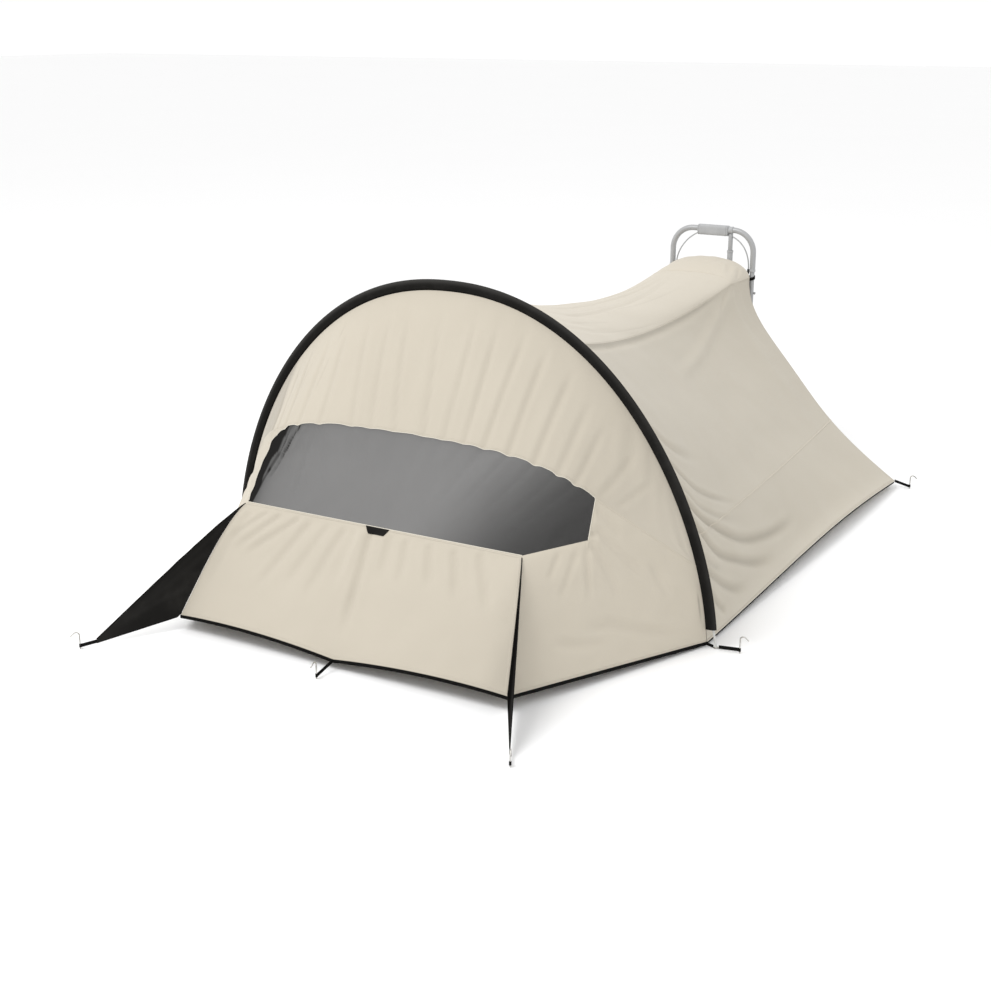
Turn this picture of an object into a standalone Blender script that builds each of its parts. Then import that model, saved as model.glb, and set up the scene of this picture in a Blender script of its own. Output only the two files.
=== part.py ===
"""Camping tarp: a fabric shelter between a pegged front arch and a tubular rear frame.

Metres, +Z up, +Y from the front window to the rear frame. The sizes below are given from the middle of
the arch at ground level, and an empty carries everything to the frame whose origin is the middle of the
footprint on the ground.
"""
import math

import bpy
import bmesh
from mathutils import Vector

# Place of the arch's middle, measured from the middle of the footprint
ARCH_PLACE_Y = -0.6202

# Front arch: |x / half width| ^ (2 / x power) and height ^ (2 / z power) give a rounded, high-shouldered curve
ARCH_HALF_WIDTH = 0.977
ARCH_HEIGHT = 1.1175
ARCH_X_POWER = 0.9235
ARCH_Z_POWER = 1.1675
ARCH_LEAN = -0.0386
SLEEVE_HALF_WIDTH = 0.0165
SLEEVE_HALF_DEPTH = 0.008
SLEEVE_SIDES = 8
POLE_RADIUS = 0.004
POLE_OFFSET = 0.0085
POLE_BORE = 0.0045
POLE_TIP_X = 0.994
POLE_TIP_Z = 0.001

# Places along the arch, as its angle from the right foot
T_HEM = 0.0263
T_SLEEVE_END = 0.085
T_HOOD_SEAM = 0.322
T_SIDE_SEAM = 0.385
T_WINDOW_LOW = 0.467
T_WINDOW_HIGH = 0.684
T_ROOF = 1.12
T_TOP = math.pi / 2
ARCH_STEP = 0.11
HOOD_SEAM_CLEAR = 0.006

# Front: window foot line, hem corners and pegs
SILL_HALF = 0.536
SILL_Y = -0.494
SILL_Z = 0.396
SILL_CURVE = 3
SILL_SPREAD = 0.6
HEM_HALF = 0.635
HEM_Y = -0.758
HEM_Z = 0.051
HEM_MIDDLE_Y = -0.763
HEM_MIDDLE_Z = 0.031
HEM_ARCH = 0.013
WINDOW_RISE_MIDDLE = 0.385
WINDOW_RISE_END = 0.533
WINDOW_RISE_LOW = 0.389
WINDOW_RISE_POWER = 3
HOOD_SEAM_POWER = 1.4
HEM_PULL_POWER = 1.3
CORNER_ROWS = 4
SIDE_HEM_ARCH = 0.032
SIDE_HEM_POWER = 1.4
REAR_EDGE_WAVE = 0.014
WALL_STEPS = 12

# Roof seams, cap and rear edge
ROOF_BOW = 0.072
ROOF_SAG = 0.100
ROOF_SAG_SKEW = 0.10
CAP_FRONT_Y = 2.05
CAP_CREST_Y = 2.255
CAP_REAR_Y = 2.28
CAP_HALF = 0.195
CAP_FRONT_Z = 0.830
CAP_SIDE_Z = 0.826
CAP_FRONT_RISE = 0.041
CAP_CREST_RISE = 0.088
CAP_REAR_DROP = 0.040
CAP_POWER = 0.9
CREST_SHARE = 0.8
REAR_CORNER = Vector((1.004, 2.045, 0.030))
REAR_EDGE_PULL = Vector((0.262, 2.280, 0.457))
SIDE_SEAM_REAR = 0.755
SIDE_SEAM_SAG = 0.015

# Shares of a panel's edge: the window's end and its upright on the bulwark, the roof's seam on the side wall
BULWARK_WINDOW_SHARE = 0.3
BULWARK_UPRIGHT_SHARE = 0.5
SIDE_ROOF_SHARE = 0.875
ROOF_STEPS = 10
CAP_SIDE_STEPS = 2

# Cloth, webbing and seams
CLOTH = 0.0025
WEBBING = 0.0015
WEBBING_WIDTH = 0.012
WEBBING_LAP = 0.002
HEM_ACROSS = Vector((-0.5, 0.87, 0.0))
GAP = 0.0003
SEAM_INSET = 0.0002
SEAM_Y = 0.002
AXIS_Z = 0.15
AXIS_FRONT_Y = -0.25
AXIS_REAR_Y = 1.9

# Pegs, straps and fins
PEG_RADIUS = 0.00225
PEG_SHAFT = 0.048
PEG_HOOK_RADIUS = 0.0115
PEG_HOOK_END = math.radians(50)
PEG_HOOK_TAIL = 0.014
STRAP_EYE_RADIUS = 0.0049
STRAP_HALF_HEIGHT = 0.006
STRAP_EYE_Z = 0.012
STRAP_DROP_FRONT = 0.003
STRAP_DROP_FIN = 0.001
FIN_TIP = Vector((0.783, -1.004, 0.017))
FIN_TIP_HALF = 0.007
FIN_DIP = 0.0115
FIN_BULGE = 0.010
FIN_BULGE_POWER = 0.6
FIN_FOOT_RISE = 0.012
FIN_THICKNESS = 0.0016
FIN_CLEAR_TOP = 0.0006
FIN_CLEAR_FOOT = 0.0012
FIN_TOP_SHARE = 0.01
CORNER_BOW = 0.027
CORNER_BOW_POWER = 0.55
CORNER_BOW_FADE = 8
FIN_PEG = (0.811, -1.051)
FIN_PEG_OUT = (0.55, -0.835)
FRONT_PEG = (0.0, -0.851)
ARCH_PEG = (1.076, 0.0)
REAR_PEG = (1.068, 2.060)
GROMMET_RADIUS = 0.009
GROMMET_BORE = 0.0049
GROMMET_HEIGHT = 0.003

# Tab under the window
TAB_HALF_TOP = 0.046
TAB_HALF_LOW = 0.030
TAB_LAP = 0.002
TAB_DROP = 0.024

# Rear frame
FRAME_Y = 2.30
BOW_HALF = 0.20
BOW_TOP = 1.035
BOW_CORNER = 0.10
BOW_RADIUS = 0.013
LEG_RADIUS = 0.0108
LEG_JOINT_Z = 0.862
FOOT_RADIUS = 0.0145
FOOT_HEIGHT = 0.030
COLLAR_RADIUS = 0.0145
COLLAR_HEIGHT = 0.012
GRIP_HALF_LENGTH = 0.075
GRIP_HALF_DEPTH = 0.018
GRIP_UP = 0.019
GRIP_DOWN = 0.029
TEE_RADIUS = 0.0165
TEE_LENGTH = 0.022
POST_X = GRIP_HALF_LENGTH + GAP + TEE_LENGTH / 2
POST_UPPER_RADIUS = 0.0105
POST_LOWER_RADIUS = 0.013
POST_RING_RADIUS = 0.0148
POST_RING_HEIGHT = 0.010
POST_JOINT_Z = 0.937
CROSSBAR_Z = 0.62
CROSSBAR_RADIUS = 0.009
CAP_BAR_RADIUS = 0.007
CAP_BAR_HALF = 0.1855
CAP_BAR_END_Y = 2.28925
CAP_BAR_END_Z = 0.79
CAP_BAR_CLEAR = 0.0005
LUG_SIZE = (0.010, 0.008, 0.022)
CABLE_RADIUS = 0.003
CABLE_OUT = 0.055
CABLE_DROP = 0.025
CABLE_RISE = 0.060
CABLE_END_STRAIGHT = 0.003
CABLE_GRIP_DROP = 0.0225
CABLE_POST_DROP = 0.032
KNOB_RADIUS = 0.006
KNOB_LENGTH = 0.010
KNOB_Z = 0.752
LEG_STRAP_Z = 0.822
LEG_STRAP_WALL = 0.002

# Finish of each part: colour, roughness, metallic
FINISHES = {
    "canvas": ((0.80, 0.74, 0.63), 0.9, 0.0),
    "mesh": ((0.16, 0.16, 0.155), 0.9, 0.0),
    "black_cloth": ((0.022, 0.021, 0.020), 0.85, 0.0),
    "webbing": ((0.018, 0.018, 0.018), 0.8, 0.0),
    "peg_steel": ((0.72, 0.72, 0.72), 0.3, 1.0),
    "frame_tube": ((0.62, 0.63, 0.64), 0.4, 0.6),
    "grip_plastic": ((0.58, 0.59, 0.60), 0.5, 0.0),
    "rubber": ((0.03, 0.03, 0.03), 0.8, 0.0),
}

carrier = None


def clear_scene():
    for obj in list(bpy.data.objects):
        bpy.data.objects.remove(obj, do_unlink=True)


def finish(name):
    colour, roughness, metallic = FINISHES[name]
    material = bpy.data.materials.get(name)
    if material is None:
        material = bpy.data.materials.new(name)
        material.use_nodes = True
        shader = material.node_tree.nodes["Principled BSDF"]
        shader.inputs["Base Color"].default_value = (*colour, 1.0)
        shader.inputs["Roughness"].default_value = roughness
        shader.inputs["Metallic"].default_value = metallic
    return material


def add_object(name, data, finish_name):
    obj = bpy.data.objects.new(name, data)
    data.materials.append(finish(finish_name))
    bpy.context.scene.collection.objects.link(obj)
    obj.parent = carrier
    return obj


def mesh_object(name, bm, finish_name, smooth=False):
    bmesh.ops.recalc_face_normals(bm, faces=bm.faces[:])
    mesh = bpy.data.meshes.new(name)
    bm.to_mesh(mesh)
    bm.free()
    if smooth:
        mesh.shade_smooth()
        mesh.set_sharp_from_angle(angle=math.radians(40))
    return add_object(name, mesh, finish_name)


def tube(name, points, radius, finish_name, sides=2):
    """A round bar through the points, with flat ends."""
    curve = bpy.data.curves.new(name, "CURVE")
    curve.dimensions = "3D"
    curve.bevel_depth = radius
    curve.bevel_resolution = sides
    curve.use_fill_caps = True
    spline = curve.splines.new("POLY")
    spline.points.add(len(points) - 1)
    for target, point in zip(spline.points, points):
        target.co = (*point, 1.0)
    return add_object(name, curve, finish_name)


def power(value, exponent):
    return math.copysign(abs(value) ** exponent, value)


def steps_between(start, end, step):
    count = max(1, math.ceil(abs(end - start) / step - 1e-6))
    return [start + (end - start) * i / count for i in range(count)]


def subdivided(breaks, step):
    values = []
    for start, end in zip(breaks, breaks[1:]):
        values += steps_between(start, end, step)
    return values + [breaks[-1]]


def mirrored(point):
    return Vector((-point.x, point.y, point.z))


# Curves of the tarp, all on the right side unless they cross the middle

def arch(t):
    height = ARCH_HEIGHT * abs(math.sin(t)) ** ARCH_Z_POWER
    across = ARCH_HALF_WIDTH * power(math.cos(t), ARCH_X_POWER)
    return Vector((across, ARCH_LEAN * height, height))


def arch_inward(t):
    """Unit vector in the arch's plane, from the arch towards the space under it."""
    reach = 0.004
    tangent = arch(min(t + reach, math.pi - T_HEM / 2)) - arch(max(t - reach, T_HEM / 2))
    plane_normal = Vector((0.0, 1.0, -ARCH_LEAN))
    return tangent.cross(plane_normal).normalized()


def arch_edge(t, side):
    """Where the cloth meets the sleeve: side -1 is the front panels' edge, 1 the rear panels' edge."""
    reach = SLEEVE_HALF_WIDTH + GAP
    return arch(t) + arch_inward(t) * reach + Vector((0.0, side * SEAM_Y, 0.0))


def sill_point(t):
    """Foot of the line that runs from the arch at t down to the window's foot line."""
    share = min(abs(arch(t).x) / arch(T_WINDOW_LOW).x, 1.0)
    across = SILL_HALF * (1.0 - (1.0 - share) ** SILL_CURVE)
    return Vector((math.copysign(across, math.cos(t)), SILL_Y, SILL_Z))


def front_line(t, share):
    return sill_point(t).lerp(arch(t), share)


def window_rise(t):
    """Share of the line from the window's foot to the arch that the window's upper edge reaches."""
    away = abs(T_TOP - t) / (T_TOP - T_WINDOW_HIGH)
    return WINDOW_RISE_MIDDLE + (WINDOW_RISE_END - WINDOW_RISE_MIDDLE) * away ** WINDOW_RISE_POWER


SILL_CORNER = Vector((SILL_HALF, SILL_Y, SILL_Z))
HEM_CORNER = Vector((HEM_HALF, HEM_Y, HEM_Z))


def window_corners():
    low = front_line(T_WINDOW_LOW, WINDOW_RISE_LOW)
    high = front_line(T_WINDOW_HIGH, window_rise(T_WINDOW_HIGH))
    return low, high


def window_top(t):
    """Upper edge of the window, with its two short upright ends as straight lines."""
    if t > T_TOP:
        return mirrored(window_top(math.pi - t))
    low, high = window_corners()
    if t >= T_WINDOW_HIGH:
        return front_line(t, window_rise(t))
    return low.lerp(high, (t - T_WINDOW_LOW) / (T_WINDOW_HIGH - T_WINDOW_LOW))


def hood_foot(t):
    """Lower edge of the hood: the window's upper edge, and the seam from there to the arch."""
    if t > T_TOP:
        return mirrored(hood_foot(math.pi - t))
    if t >= T_WINDOW_HIGH:
        return window_top(t)
    share = (T_WINDOW_HIGH - t) / (T_WINDOW_HIGH - T_HOOD_SEAM)
    return window_corners()[1].lerp(hood_seam_end(), share ** HOOD_SEAM_POWER)


def hood_seam_end():
    return arch_edge(T_HOOD_SEAM - HOOD_SEAM_CLEAR, -1)


def roof_seam(share):
    """Edge between roof and side wall, from the arch to the cap's corner."""
    start = arch_edge(T_ROOF, 1)
    end = Vector((CAP_HALF, CAP_FRONT_Y, CAP_FRONT_Z))
    sag = 4.0 * share * (1.0 - share) * (1.0 + ROOF_SAG_SKEW * (2.0 * share - 1.0))
    return start.lerp(end, share) - Vector((ROOF_BOW * sag, 0.0, ROOF_SAG * sag))


def cap_section(angle, half, y, foot_z, rise):
    across = half * power(math.cos(angle), CAP_POWER)
    return Vector((across, y, foot_z + rise * power(math.sin(angle), CAP_POWER)))


def cap_seam(angle):
    return cap_section(angle, CAP_HALF, CAP_FRONT_Y, CAP_FRONT_Z, CAP_FRONT_RISE)


def cap_point(angle, share):
    if share <= CREST_SHARE:
        part = share / CREST_SHARE
        y = CAP_FRONT_Y + (CAP_CREST_Y - CAP_FRONT_Y) * part
        rise = CAP_FRONT_RISE + (CAP_CREST_RISE - CAP_FRONT_RISE) * math.sin(part * math.pi / 2)
    else:
        turn = (share - CREST_SHARE) / (1.0 - CREST_SHARE) * math.pi / 2
        y = CAP_CREST_Y + (CAP_REAR_Y - CAP_CREST_Y) * math.sin(turn)
        rise = CAP_CREST_RISE - CAP_REAR_DROP * (1.0 - math.cos(turn))
    along = (y - CAP_FRONT_Y) / (CAP_REAR_Y - CAP_FRONT_Y)
    foot_z = CAP_FRONT_Z + (CAP_SIDE_Z - CAP_FRONT_Z) * along
    return cap_section(angle, CAP_HALF, y, foot_z, rise)


def rear_edge(share):
    """Free edge of the side wall, from its peg corner at 0 up to the frame's leg at 1."""
    top = Vector((CAP_HALF, CAP_REAR_Y, CAP_SIDE_Z))
    lower = REAR_CORNER.lerp(REAR_EDGE_PULL, share)
    upper = REAR_EDGE_PULL.lerp(top, share)
    wave = REAR_EDGE_WAVE * math.sin(3.0 * math.pi * share)
    return lower.lerp(upper, share) - Vector((wave, 0.0, 0.0))


def side_seam(share):
    start = arch_edge(T_SIDE_SEAM, 1)
    end = rear_edge(1.0 - SIDE_SEAM_REAR)
    return start.lerp(end, share) - Vector((0.0, 0.0, SIDE_SEAM_SAG * 4.0 * share * (1.0 - share)))


def front_hem(share):
    """Hem of the front wall from its left corner to its right one, drawn down in the middle."""
    across = HEM_HALF * (2.0 * share - 1.0)
    pull = (1.0 - abs(2.0 * share - 1.0)) ** HEM_PULL_POWER
    y = HEM_Y + (HEM_MIDDLE_Y - HEM_Y) * pull
    beside = abs(2.0 * share - 1.0)
    arched = HEM_ARCH * 4.0 * beside * (1.0 - beside)
    return Vector((across, y, HEM_Z + (HEM_MIDDLE_Z - HEM_Z) * pull + arched))


def bulwark_hem(share):
    return HEM_CORNER.lerp(arch_edge(T_HEM, -1), share)


def coons(bottom, top, left, right):
    """Surface between four edges that share their corners."""
    corners = (bottom(0.0), bottom(1.0), top(0.0), top(1.0))

    def point(u, v):
        ruled = bottom(u).lerp(top(u), v) + left(v).lerp(right(v), u)
        flat = corners[0].lerp(corners[1], u).lerp(corners[2].lerp(corners[3], u), v)
        return ruled - flat

    return point


def through(points):
    """Line from the first point at 0 to the last at 1, in equal shares from point to point."""

    def point(share):
        position = share * (len(points) - 1)
        index = min(int(position), len(points) - 2)
        return points[index].lerp(points[index + 1], position - index)

    return point


def grid_of(surface, across, along):
    return [[surface(u, v) for u in across] for v in along]


def even(count):
    return [i / count for i in range(count + 1)]


# Solids

def inward(point):
    """Direction from the cloth towards the middle of the space under it."""
    y = min(max(point.y, AXIS_FRONT_Y), AXIS_REAR_Y)
    return (Vector((0.0, y, AXIS_Z)) - point).normalized()


def inset_rows(grid, amount):
    """Draw the first and last row in, so that panels that share a seam don't touch."""
    rows = [list(row) for row in grid]
    for edge, neighbour in ((0, 1), (-1, -2)):
        for column, point in enumerate(grid[edge]):
            step = grid[neighbour][column] - point
            rows[edge][column] = point + step.normalized() * amount
    return rows


def inset(grid, amount):
    rows = inset_rows(grid, amount)
    columns = inset_rows([list(column) for column in zip(*rows)], amount)
    return [list(row) for row in zip(*columns)]


def shell(name, grid, finish_name, outer=0.0, inner=CLOTH, direction=inward):
    """A closed sheet on the grid, between two depths along the inward direction."""
    bm = bmesh.new()
    rows = [[bm.verts.new(p + direction(p) * outer) for p in row] for row in grid]
    for lower, upper in zip(rows, rows[1:]):
        for i in range(len(lower) - 1):
            bm.faces.new((lower[i], lower[i + 1], upper[i + 1], upper[i]))
    made = bmesh.ops.extrude_face_region(bm, geom=bm.faces[:], use_keep_orig=True)
    for item in made["geom"]:
        if isinstance(item, bmesh.types.BMVert):
            item.co += direction(item.co) * (inner - outer)
    return mesh_object(name, bm, finish_name, smooth=True)


def ring_sweep(name, rings, finish_name):
    """A closed solid from rings of outer and inner points, open along its bore."""
    bm = bmesh.new()
    outer = [[bm.verts.new(p) for p in ring[0]] for ring in rings]
    inner = [[bm.verts.new(p) for p in ring[1]] for ring in rings]
    count = len(outer[0])
    for wall in (outer, inner):
        for first, second in zip(wall, wall[1:]):
            for i in range(count):
                j = (i + 1) % count
                bm.faces.new((first[i], first[j], second[j], second[i]))
    for end in (0, -1):
        for i in range(count):
            j = (i + 1) % count
            bm.faces.new((outer[end][i], outer[end][j], inner[end][j], inner[end][i]))
    return mesh_object(name, bm, finish_name, smooth=True)


def ring_points(centre, side, up, side_reach, up_reach, count):
    points = []
    for i in range(count):
        angle = 2.0 * math.pi * (i + 0.5) / count
        points.append(centre + side * (side_reach * math.cos(angle)) + up * (up_reach * math.sin(angle)))
    return points


def collar(name, start, end, outer, bore, finish_name, sides=16):
    """A round sleeve with a through hole, from start to end."""
    axis = (end - start).normalized()
    side = axis.orthogonal().normalized()
    up = axis.cross(side)
    rings = []
    for centre in (start, end):
        rings.append((ring_points(centre, side, up, outer, outer, sides),
                      ring_points(centre, side, up, bore, bore, sides)))
    return ring_sweep(name, rings, finish_name)


def rod(name, start, end, radius, finish_name, sides=14):
    bm = bmesh.new()
    axis = end - start
    bmesh.ops.create_cone(bm, cap_ends=True, segments=sides, radius1=radius, radius2=radius, depth=axis.length)
    turn = Vector((0.0, 0.0, 1.0)).rotation_difference(axis)
    bmesh.ops.rotate(bm, verts=bm.verts[:], matrix=turn.to_matrix())
    bmesh.ops.translate(bm, verts=bm.verts[:], vec=(start + end) / 2)
    return mesh_object(name, bm, finish_name, smooth=True)


def block(name, centre, size, finish_name):
    bm = bmesh.new()
    bmesh.ops.create_cube(bm, size=1.0)
    bmesh.ops.scale(bm, verts=bm.verts[:], vec=size)
    bmesh.ops.translate(bm, verts=bm.verts[:], vec=centre)
    return mesh_object(name, bm, finish_name)


# Places along the arch where panels and sleeve have their points
ARCH_BREAKS = [T_HEM, T_SLEEVE_END, T_HOOD_SEAM, T_SIDE_SEAM, T_WINDOW_LOW, T_WINDOW_HIGH, T_ROOF, T_TOP]
RIGHT_HALF = subdivided(ARCH_BREAKS, ARCH_STEP)
WHOLE_ARCH = RIGHT_HALF + [math.pi - t for t in reversed(RIGHT_HALF[:-1])]


def arch_places(start, end):
    tolerance = 1e-6
    return [t for t in WHOLE_ARCH if start - tolerance <= t <= end + tolerance]


def both_sides(build):
    for side, word in ((1.0, "right"), (-1.0, "left")):
        build(side, word)


def on_side(grid, side):
    if side > 0:
        return grid
    return [[mirrored(p) for p in row] for row in grid]


def make_hood():
    places = arch_places(T_HOOD_SEAM, math.pi - T_HOOD_SEAM)
    rows = []
    for share in even(3):
        rows.append([hood_foot(t).lerp(arch_edge(t, -1), share) for t in places])
    shell("hood_panel", inset(rows, SEAM_INSET), "canvas")


def make_window():
    places = arch_places(T_WINDOW_LOW, math.pi - T_WINDOW_LOW)
    rows = []
    for share in even(2):
        rows.append([spread_sill(t).lerp(window_top(t), share) for t in places])
    shell("window_mesh", inset(rows, SEAM_INSET), "mesh")


def spread_sill(t):
    """Window's foot, with the points of its ends spread a little along the foot line."""
    share = (T_TOP - t) / (T_TOP - T_WINDOW_LOW)
    spread = math.sin(share * math.pi / 2) * SILL_SPREAD + share * (1.0 - SILL_SPREAD)
    return Vector((SILL_HALF * spread, SILL_Y, SILL_Z))


def corner_bow(share):
    """How far the fin pulls the front corner's edge out, from the hem at 0 to the window's foot at 1."""
    outward = Vector((FIN_TIP.x - HEM_CORNER.x, FIN_TIP.y - HEM_CORNER.y, 0.0)).normalized()
    pulls = [CORNER_BOW * math.sin(math.pi * (1.0 - v) ** CORNER_BOW_POWER) for v in even(CORNER_ROWS)]
    return through([outward * pull for pull in pulls])(share)


def make_front_wall():
    top_left = mirrored(SILL_CORNER)
    flat = coons(front_hem, lambda u: top_left.lerp(SILL_CORNER, u),
                 lambda v: mirrored(HEM_CORNER).lerp(top_left, v),
                 lambda v: HEM_CORNER.lerp(SILL_CORNER, v))

    def surface(u, v):
        bow = corner_bow(v)
        return flat(u, v) + bow * u ** CORNER_BOW_FADE + mirrored(bow) * (1.0 - u) ** CORNER_BOW_FADE

    shell("front_wall", inset(grid_of(surface, even(WALL_STEPS), even(CORNER_ROWS)), SEAM_INSET), "canvas")
    make_window_tab(surface)


def make_window_tab(surface):
    middle = 0.5
    wall_height = (surface(middle, 1.0) - surface(middle, 0.0)).length
    rows = []
    for share in even(2):
        half = TAB_HALF_TOP + (TAB_HALF_LOW - TAB_HALF_TOP) * share
        v = 1.0 - (TAB_LAP + TAB_DROP * share) / wall_height
        reach = half / (2.0 * SILL_HALF)
        rows.append([surface(middle + reach * (2.0 * across - 1.0), v) for across in even(4)])
    shell("window_tab", rows, "black_cloth", outer=-GAP - WEBBING, inner=-GAP)


def bulwark_top(share):
    """Top edge: along the window's end, up its short upright, and down the hood's seam to the arch."""
    low, high = window_corners()
    end = hood_seam_end()
    clear = (end - high).normalized() * (2.0 * GAP)
    low = low + clear
    high = high + clear
    if share <= BULWARK_WINDOW_SHARE:
        return SILL_CORNER.lerp(low, share / BULWARK_WINDOW_SHARE)
    if share <= BULWARK_UPRIGHT_SHARE:
        return low.lerp(high, (share - BULWARK_WINDOW_SHARE) / (BULWARK_UPRIGHT_SHARE - BULWARK_WINDOW_SHARE))
    return high.lerp(end, (share - BULWARK_UPRIGHT_SHARE) / (1.0 - BULWARK_UPRIGHT_SHARE))


def make_bulwark(side, word):
    places = arch_places(T_HEM, T_HOOD_SEAM)[:-1] + [T_HOOD_SEAM - HOOD_SEAM_CLEAR]
    arch_line = through([arch_edge(t, -1) for t in places])
    flat = coons(bulwark_hem, bulwark_top, lambda v: HEM_CORNER.lerp(SILL_CORNER, v), arch_line)

    def surface(u, v):
        return flat(u, v) + corner_bow(v) * (1.0 - u) ** CORNER_BOW_FADE

    grid = grid_of(surface, even(10), even(CORNER_ROWS))
    shell("bulwark_" + word, on_side(inset(grid, SEAM_INSET), side), "canvas")


def make_fin(side, word):
    """A flat triangle from the front corner's edge to a blunt tip beside the peg."""
    foot_share = FIN_FOOT_RISE / (SILL_CORNER - HEM_CORNER).length
    top_share = 1.0 - FIN_TOP_SHARE
    outward = (FIN_TIP - HEM_CORNER).normalized()

    def root(share):
        across = (share - foot_share) / (top_share - foot_share)
        clear = FIN_CLEAR_FOOT + (FIN_CLEAR_TOP - FIN_CLEAR_FOOT) * across
        return HEM_CORNER.lerp(SILL_CORNER, share) + corner_bow(share) + outward * clear

    foot, top = root(foot_share), root(top_share)
    up = Vector((0.0, 0.0, 1.0))
    tip_top = FIN_TIP + up * FIN_TIP_HALF
    tip_low = FIN_TIP - up * FIN_TIP_HALF
    normal = (top - foot).cross(FIN_TIP - foot).normalized()
    away = (tip_top - top).cross(normal).normalized()
    rows = []
    inner_shares = [i / CORNER_ROWS for i in range(1, CORNER_ROWS)]
    for share in [foot_share] + inner_shares + [top_share]:
        v = (share - foot_share) / (top_share - foot_share)
        pull = root(share) - foot.lerp(top, v)
        row = []
        for u in even(8):
            dip = FIN_DIP * (1.0 - u) if u else 0.0
            bulge = FIN_BULGE * math.sin(math.pi * u ** FIN_BULGE_POWER)
            low = foot.lerp(tip_low, u) - up * dip
            high = top.lerp(tip_top, u) + away * bulge
            row.append(low.lerp(high, v) + pull * (1.0 - u))
        rows.append(row)
    if side < 0:
        normal = mirrored(normal)
    half = FIN_THICKNESS / 2
    shell("fin_" + word, on_side(rows, side), "black_cloth", outer=-half, inner=half, direction=lambda p: normal)


def make_roof():
    places = arch_places(T_ROOF, math.pi - T_ROOF)
    front = through([arch_edge(t, 1) for t in places])
    rear = through([cap_seam(angle) for angle in cap_angles()])
    surface = coons(front, rear, roof_seam, lambda v: mirrored(roof_seam(v)))
    grid = grid_of(surface, even(len(places) - 1), even(ROOF_STEPS))
    shell("roof_panel", inset(grid, SEAM_INSET), "canvas")


def cap_angles():
    """As many places across the cap as the roof has along the arch."""
    count = len(arch_places(T_ROOF, math.pi - T_ROOF)) - 1
    return [math.pi * i / count for i in range(count + 1)]


def make_cap():
    shares = [0.0, 0.2, 0.4, 0.6, CREST_SHARE, 0.87, 0.94, 1.0]
    grid = [[cap_point(angle, share) for angle in cap_angles()] for share in shares]
    shell("rear_cap", inset(grid, SEAM_INSET), "canvas")


def side_top(share):
    """Top edge of the side wall: the roof's seam, then the cap's side down to the frame's leg."""
    if share <= SIDE_ROOF_SHARE:
        return roof_seam(share / SIDE_ROOF_SHARE)
    return roof_seam(1.0).lerp(rear_edge(1.0), (share - SIDE_ROOF_SHARE) / (1.0 - SIDE_ROOF_SHARE))


def side_hem(share):
    """Lower edge of the side wall, cut in an arch between the arch's foot and the rear peg."""
    arched = SIDE_HEM_ARCH * math.sin(math.pi * share ** SIDE_HEM_POWER)
    return arch_edge(T_HEM, 1).lerp(REAR_CORNER, share) + Vector((0.0, 0.0, arched))


def make_side_walls(side, word):
    make_side_panel("side_wall_lower_" + word, side, side_hem, side_seam, (T_HEM, T_SIDE_SEAM),
                    (0.0, 1.0 - SIDE_SEAM_REAR))
    make_side_panel("side_wall_upper_" + word, side, side_seam, side_top, (T_SIDE_SEAM, T_ROOF),
                    (1.0 - SIDE_SEAM_REAR, 1.0))


def make_side_panel(name, side, low_edge, high_edge, arch_span, rear_span):
    places = arch_places(*arch_span)
    arch_line = through([arch_edge(t, 1) for t in places])
    start, end = rear_span
    surface = coons(low_edge, high_edge, arch_line, lambda v: rear_edge(start + (end - start) * v))
    beside_roof = [SIDE_ROOF_SHARE * share for share in even(ROOF_STEPS)]
    beside_cap = [1.0 - (1.0 - SIDE_ROOF_SHARE) * (1.0 - share) for share in even(CAP_SIDE_STEPS)]
    grid = grid_of(surface, beside_roof + beside_cap[1:], even(len(places) - 1))
    shell(name, on_side(inset(grid, SEAM_INSET), side), "canvas")


def make_sleeve():
    plane_side = Vector((0.0, 1.0, ARCH_LEAN)).normalized()
    corner = 1.0 / math.cos(math.pi / SLEEVE_SIDES)
    rings = []
    for t in arch_places(T_SLEEVE_END, math.pi - T_SLEEVE_END):
        outward = arch_inward(t) * -1.0
        centre = arch(t)
        outer = ring_points(centre, outward, plane_side, SLEEVE_HALF_WIDTH * corner, SLEEVE_HALF_DEPTH * corner,
                            SLEEVE_SIDES)
        bore = ring_points(centre + outward * POLE_OFFSET, outward, plane_side, POLE_BORE, POLE_BORE, SLEEVE_SIDES)
        rings.append((outer, bore))
    ring_sweep("arch_sleeve", rings, "black_cloth")


def make_pole():
    places = arch_places(T_SLEEVE_END, math.pi - T_SLEEVE_END)
    points = [arch(t) - arch_inward(t) * POLE_OFFSET for t in places]
    tip = Vector((POLE_TIP_X, 0.0, POLE_TIP_Z))
    points = [tip] + points + [mirrored(tip)]
    tube("arch_pole", points, POLE_RADIUS, "frame_tube", sides=1)


def make_hem_webbing():
    """Webbing under the front hem, from the left arch foot round the front corners to the right one."""
    right = [bulwark_hem(share) for share in even(8)]
    front = [front_hem(share) for share in even(WALL_STEPS)]
    path = [mirrored(p) for p in reversed(right)] + front[1:-1] + right
    lean = (SILL_CORNER - HEM_CORNER).z / (SILL_CORNER - HEM_CORNER).length
    end_z = (WEBBING_WIDTH - WEBBING_LAP) * lean + GAP
    end = Vector((POLE_TIP_X - GROMMET_RADIUS - 2.0 * GAP, 0.0, end_z))
    path = [mirrored(end)] + path + [end]
    lower = [p - Vector((0.0, 0.0, (WEBBING_WIDTH - WEBBING_LAP) * lean)) for p in path]
    upper = [p + Vector((0.0, 0.0, WEBBING_LAP * lean)) for p in path]
    shell("hem_webbing", [lower, upper], "webbing", outer=-GAP - WEBBING, inner=-GAP, direction=across_hem)


def across_hem(point):
    """Level direction through the hem webbing, which turns a little at the front corners."""
    turn = min(max(point.x / HEM_HALF, -1.0), 1.0)
    return Vector((HEM_ACROSS.x * turn, HEM_ACROSS.y, 0.0)).normalized()


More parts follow.
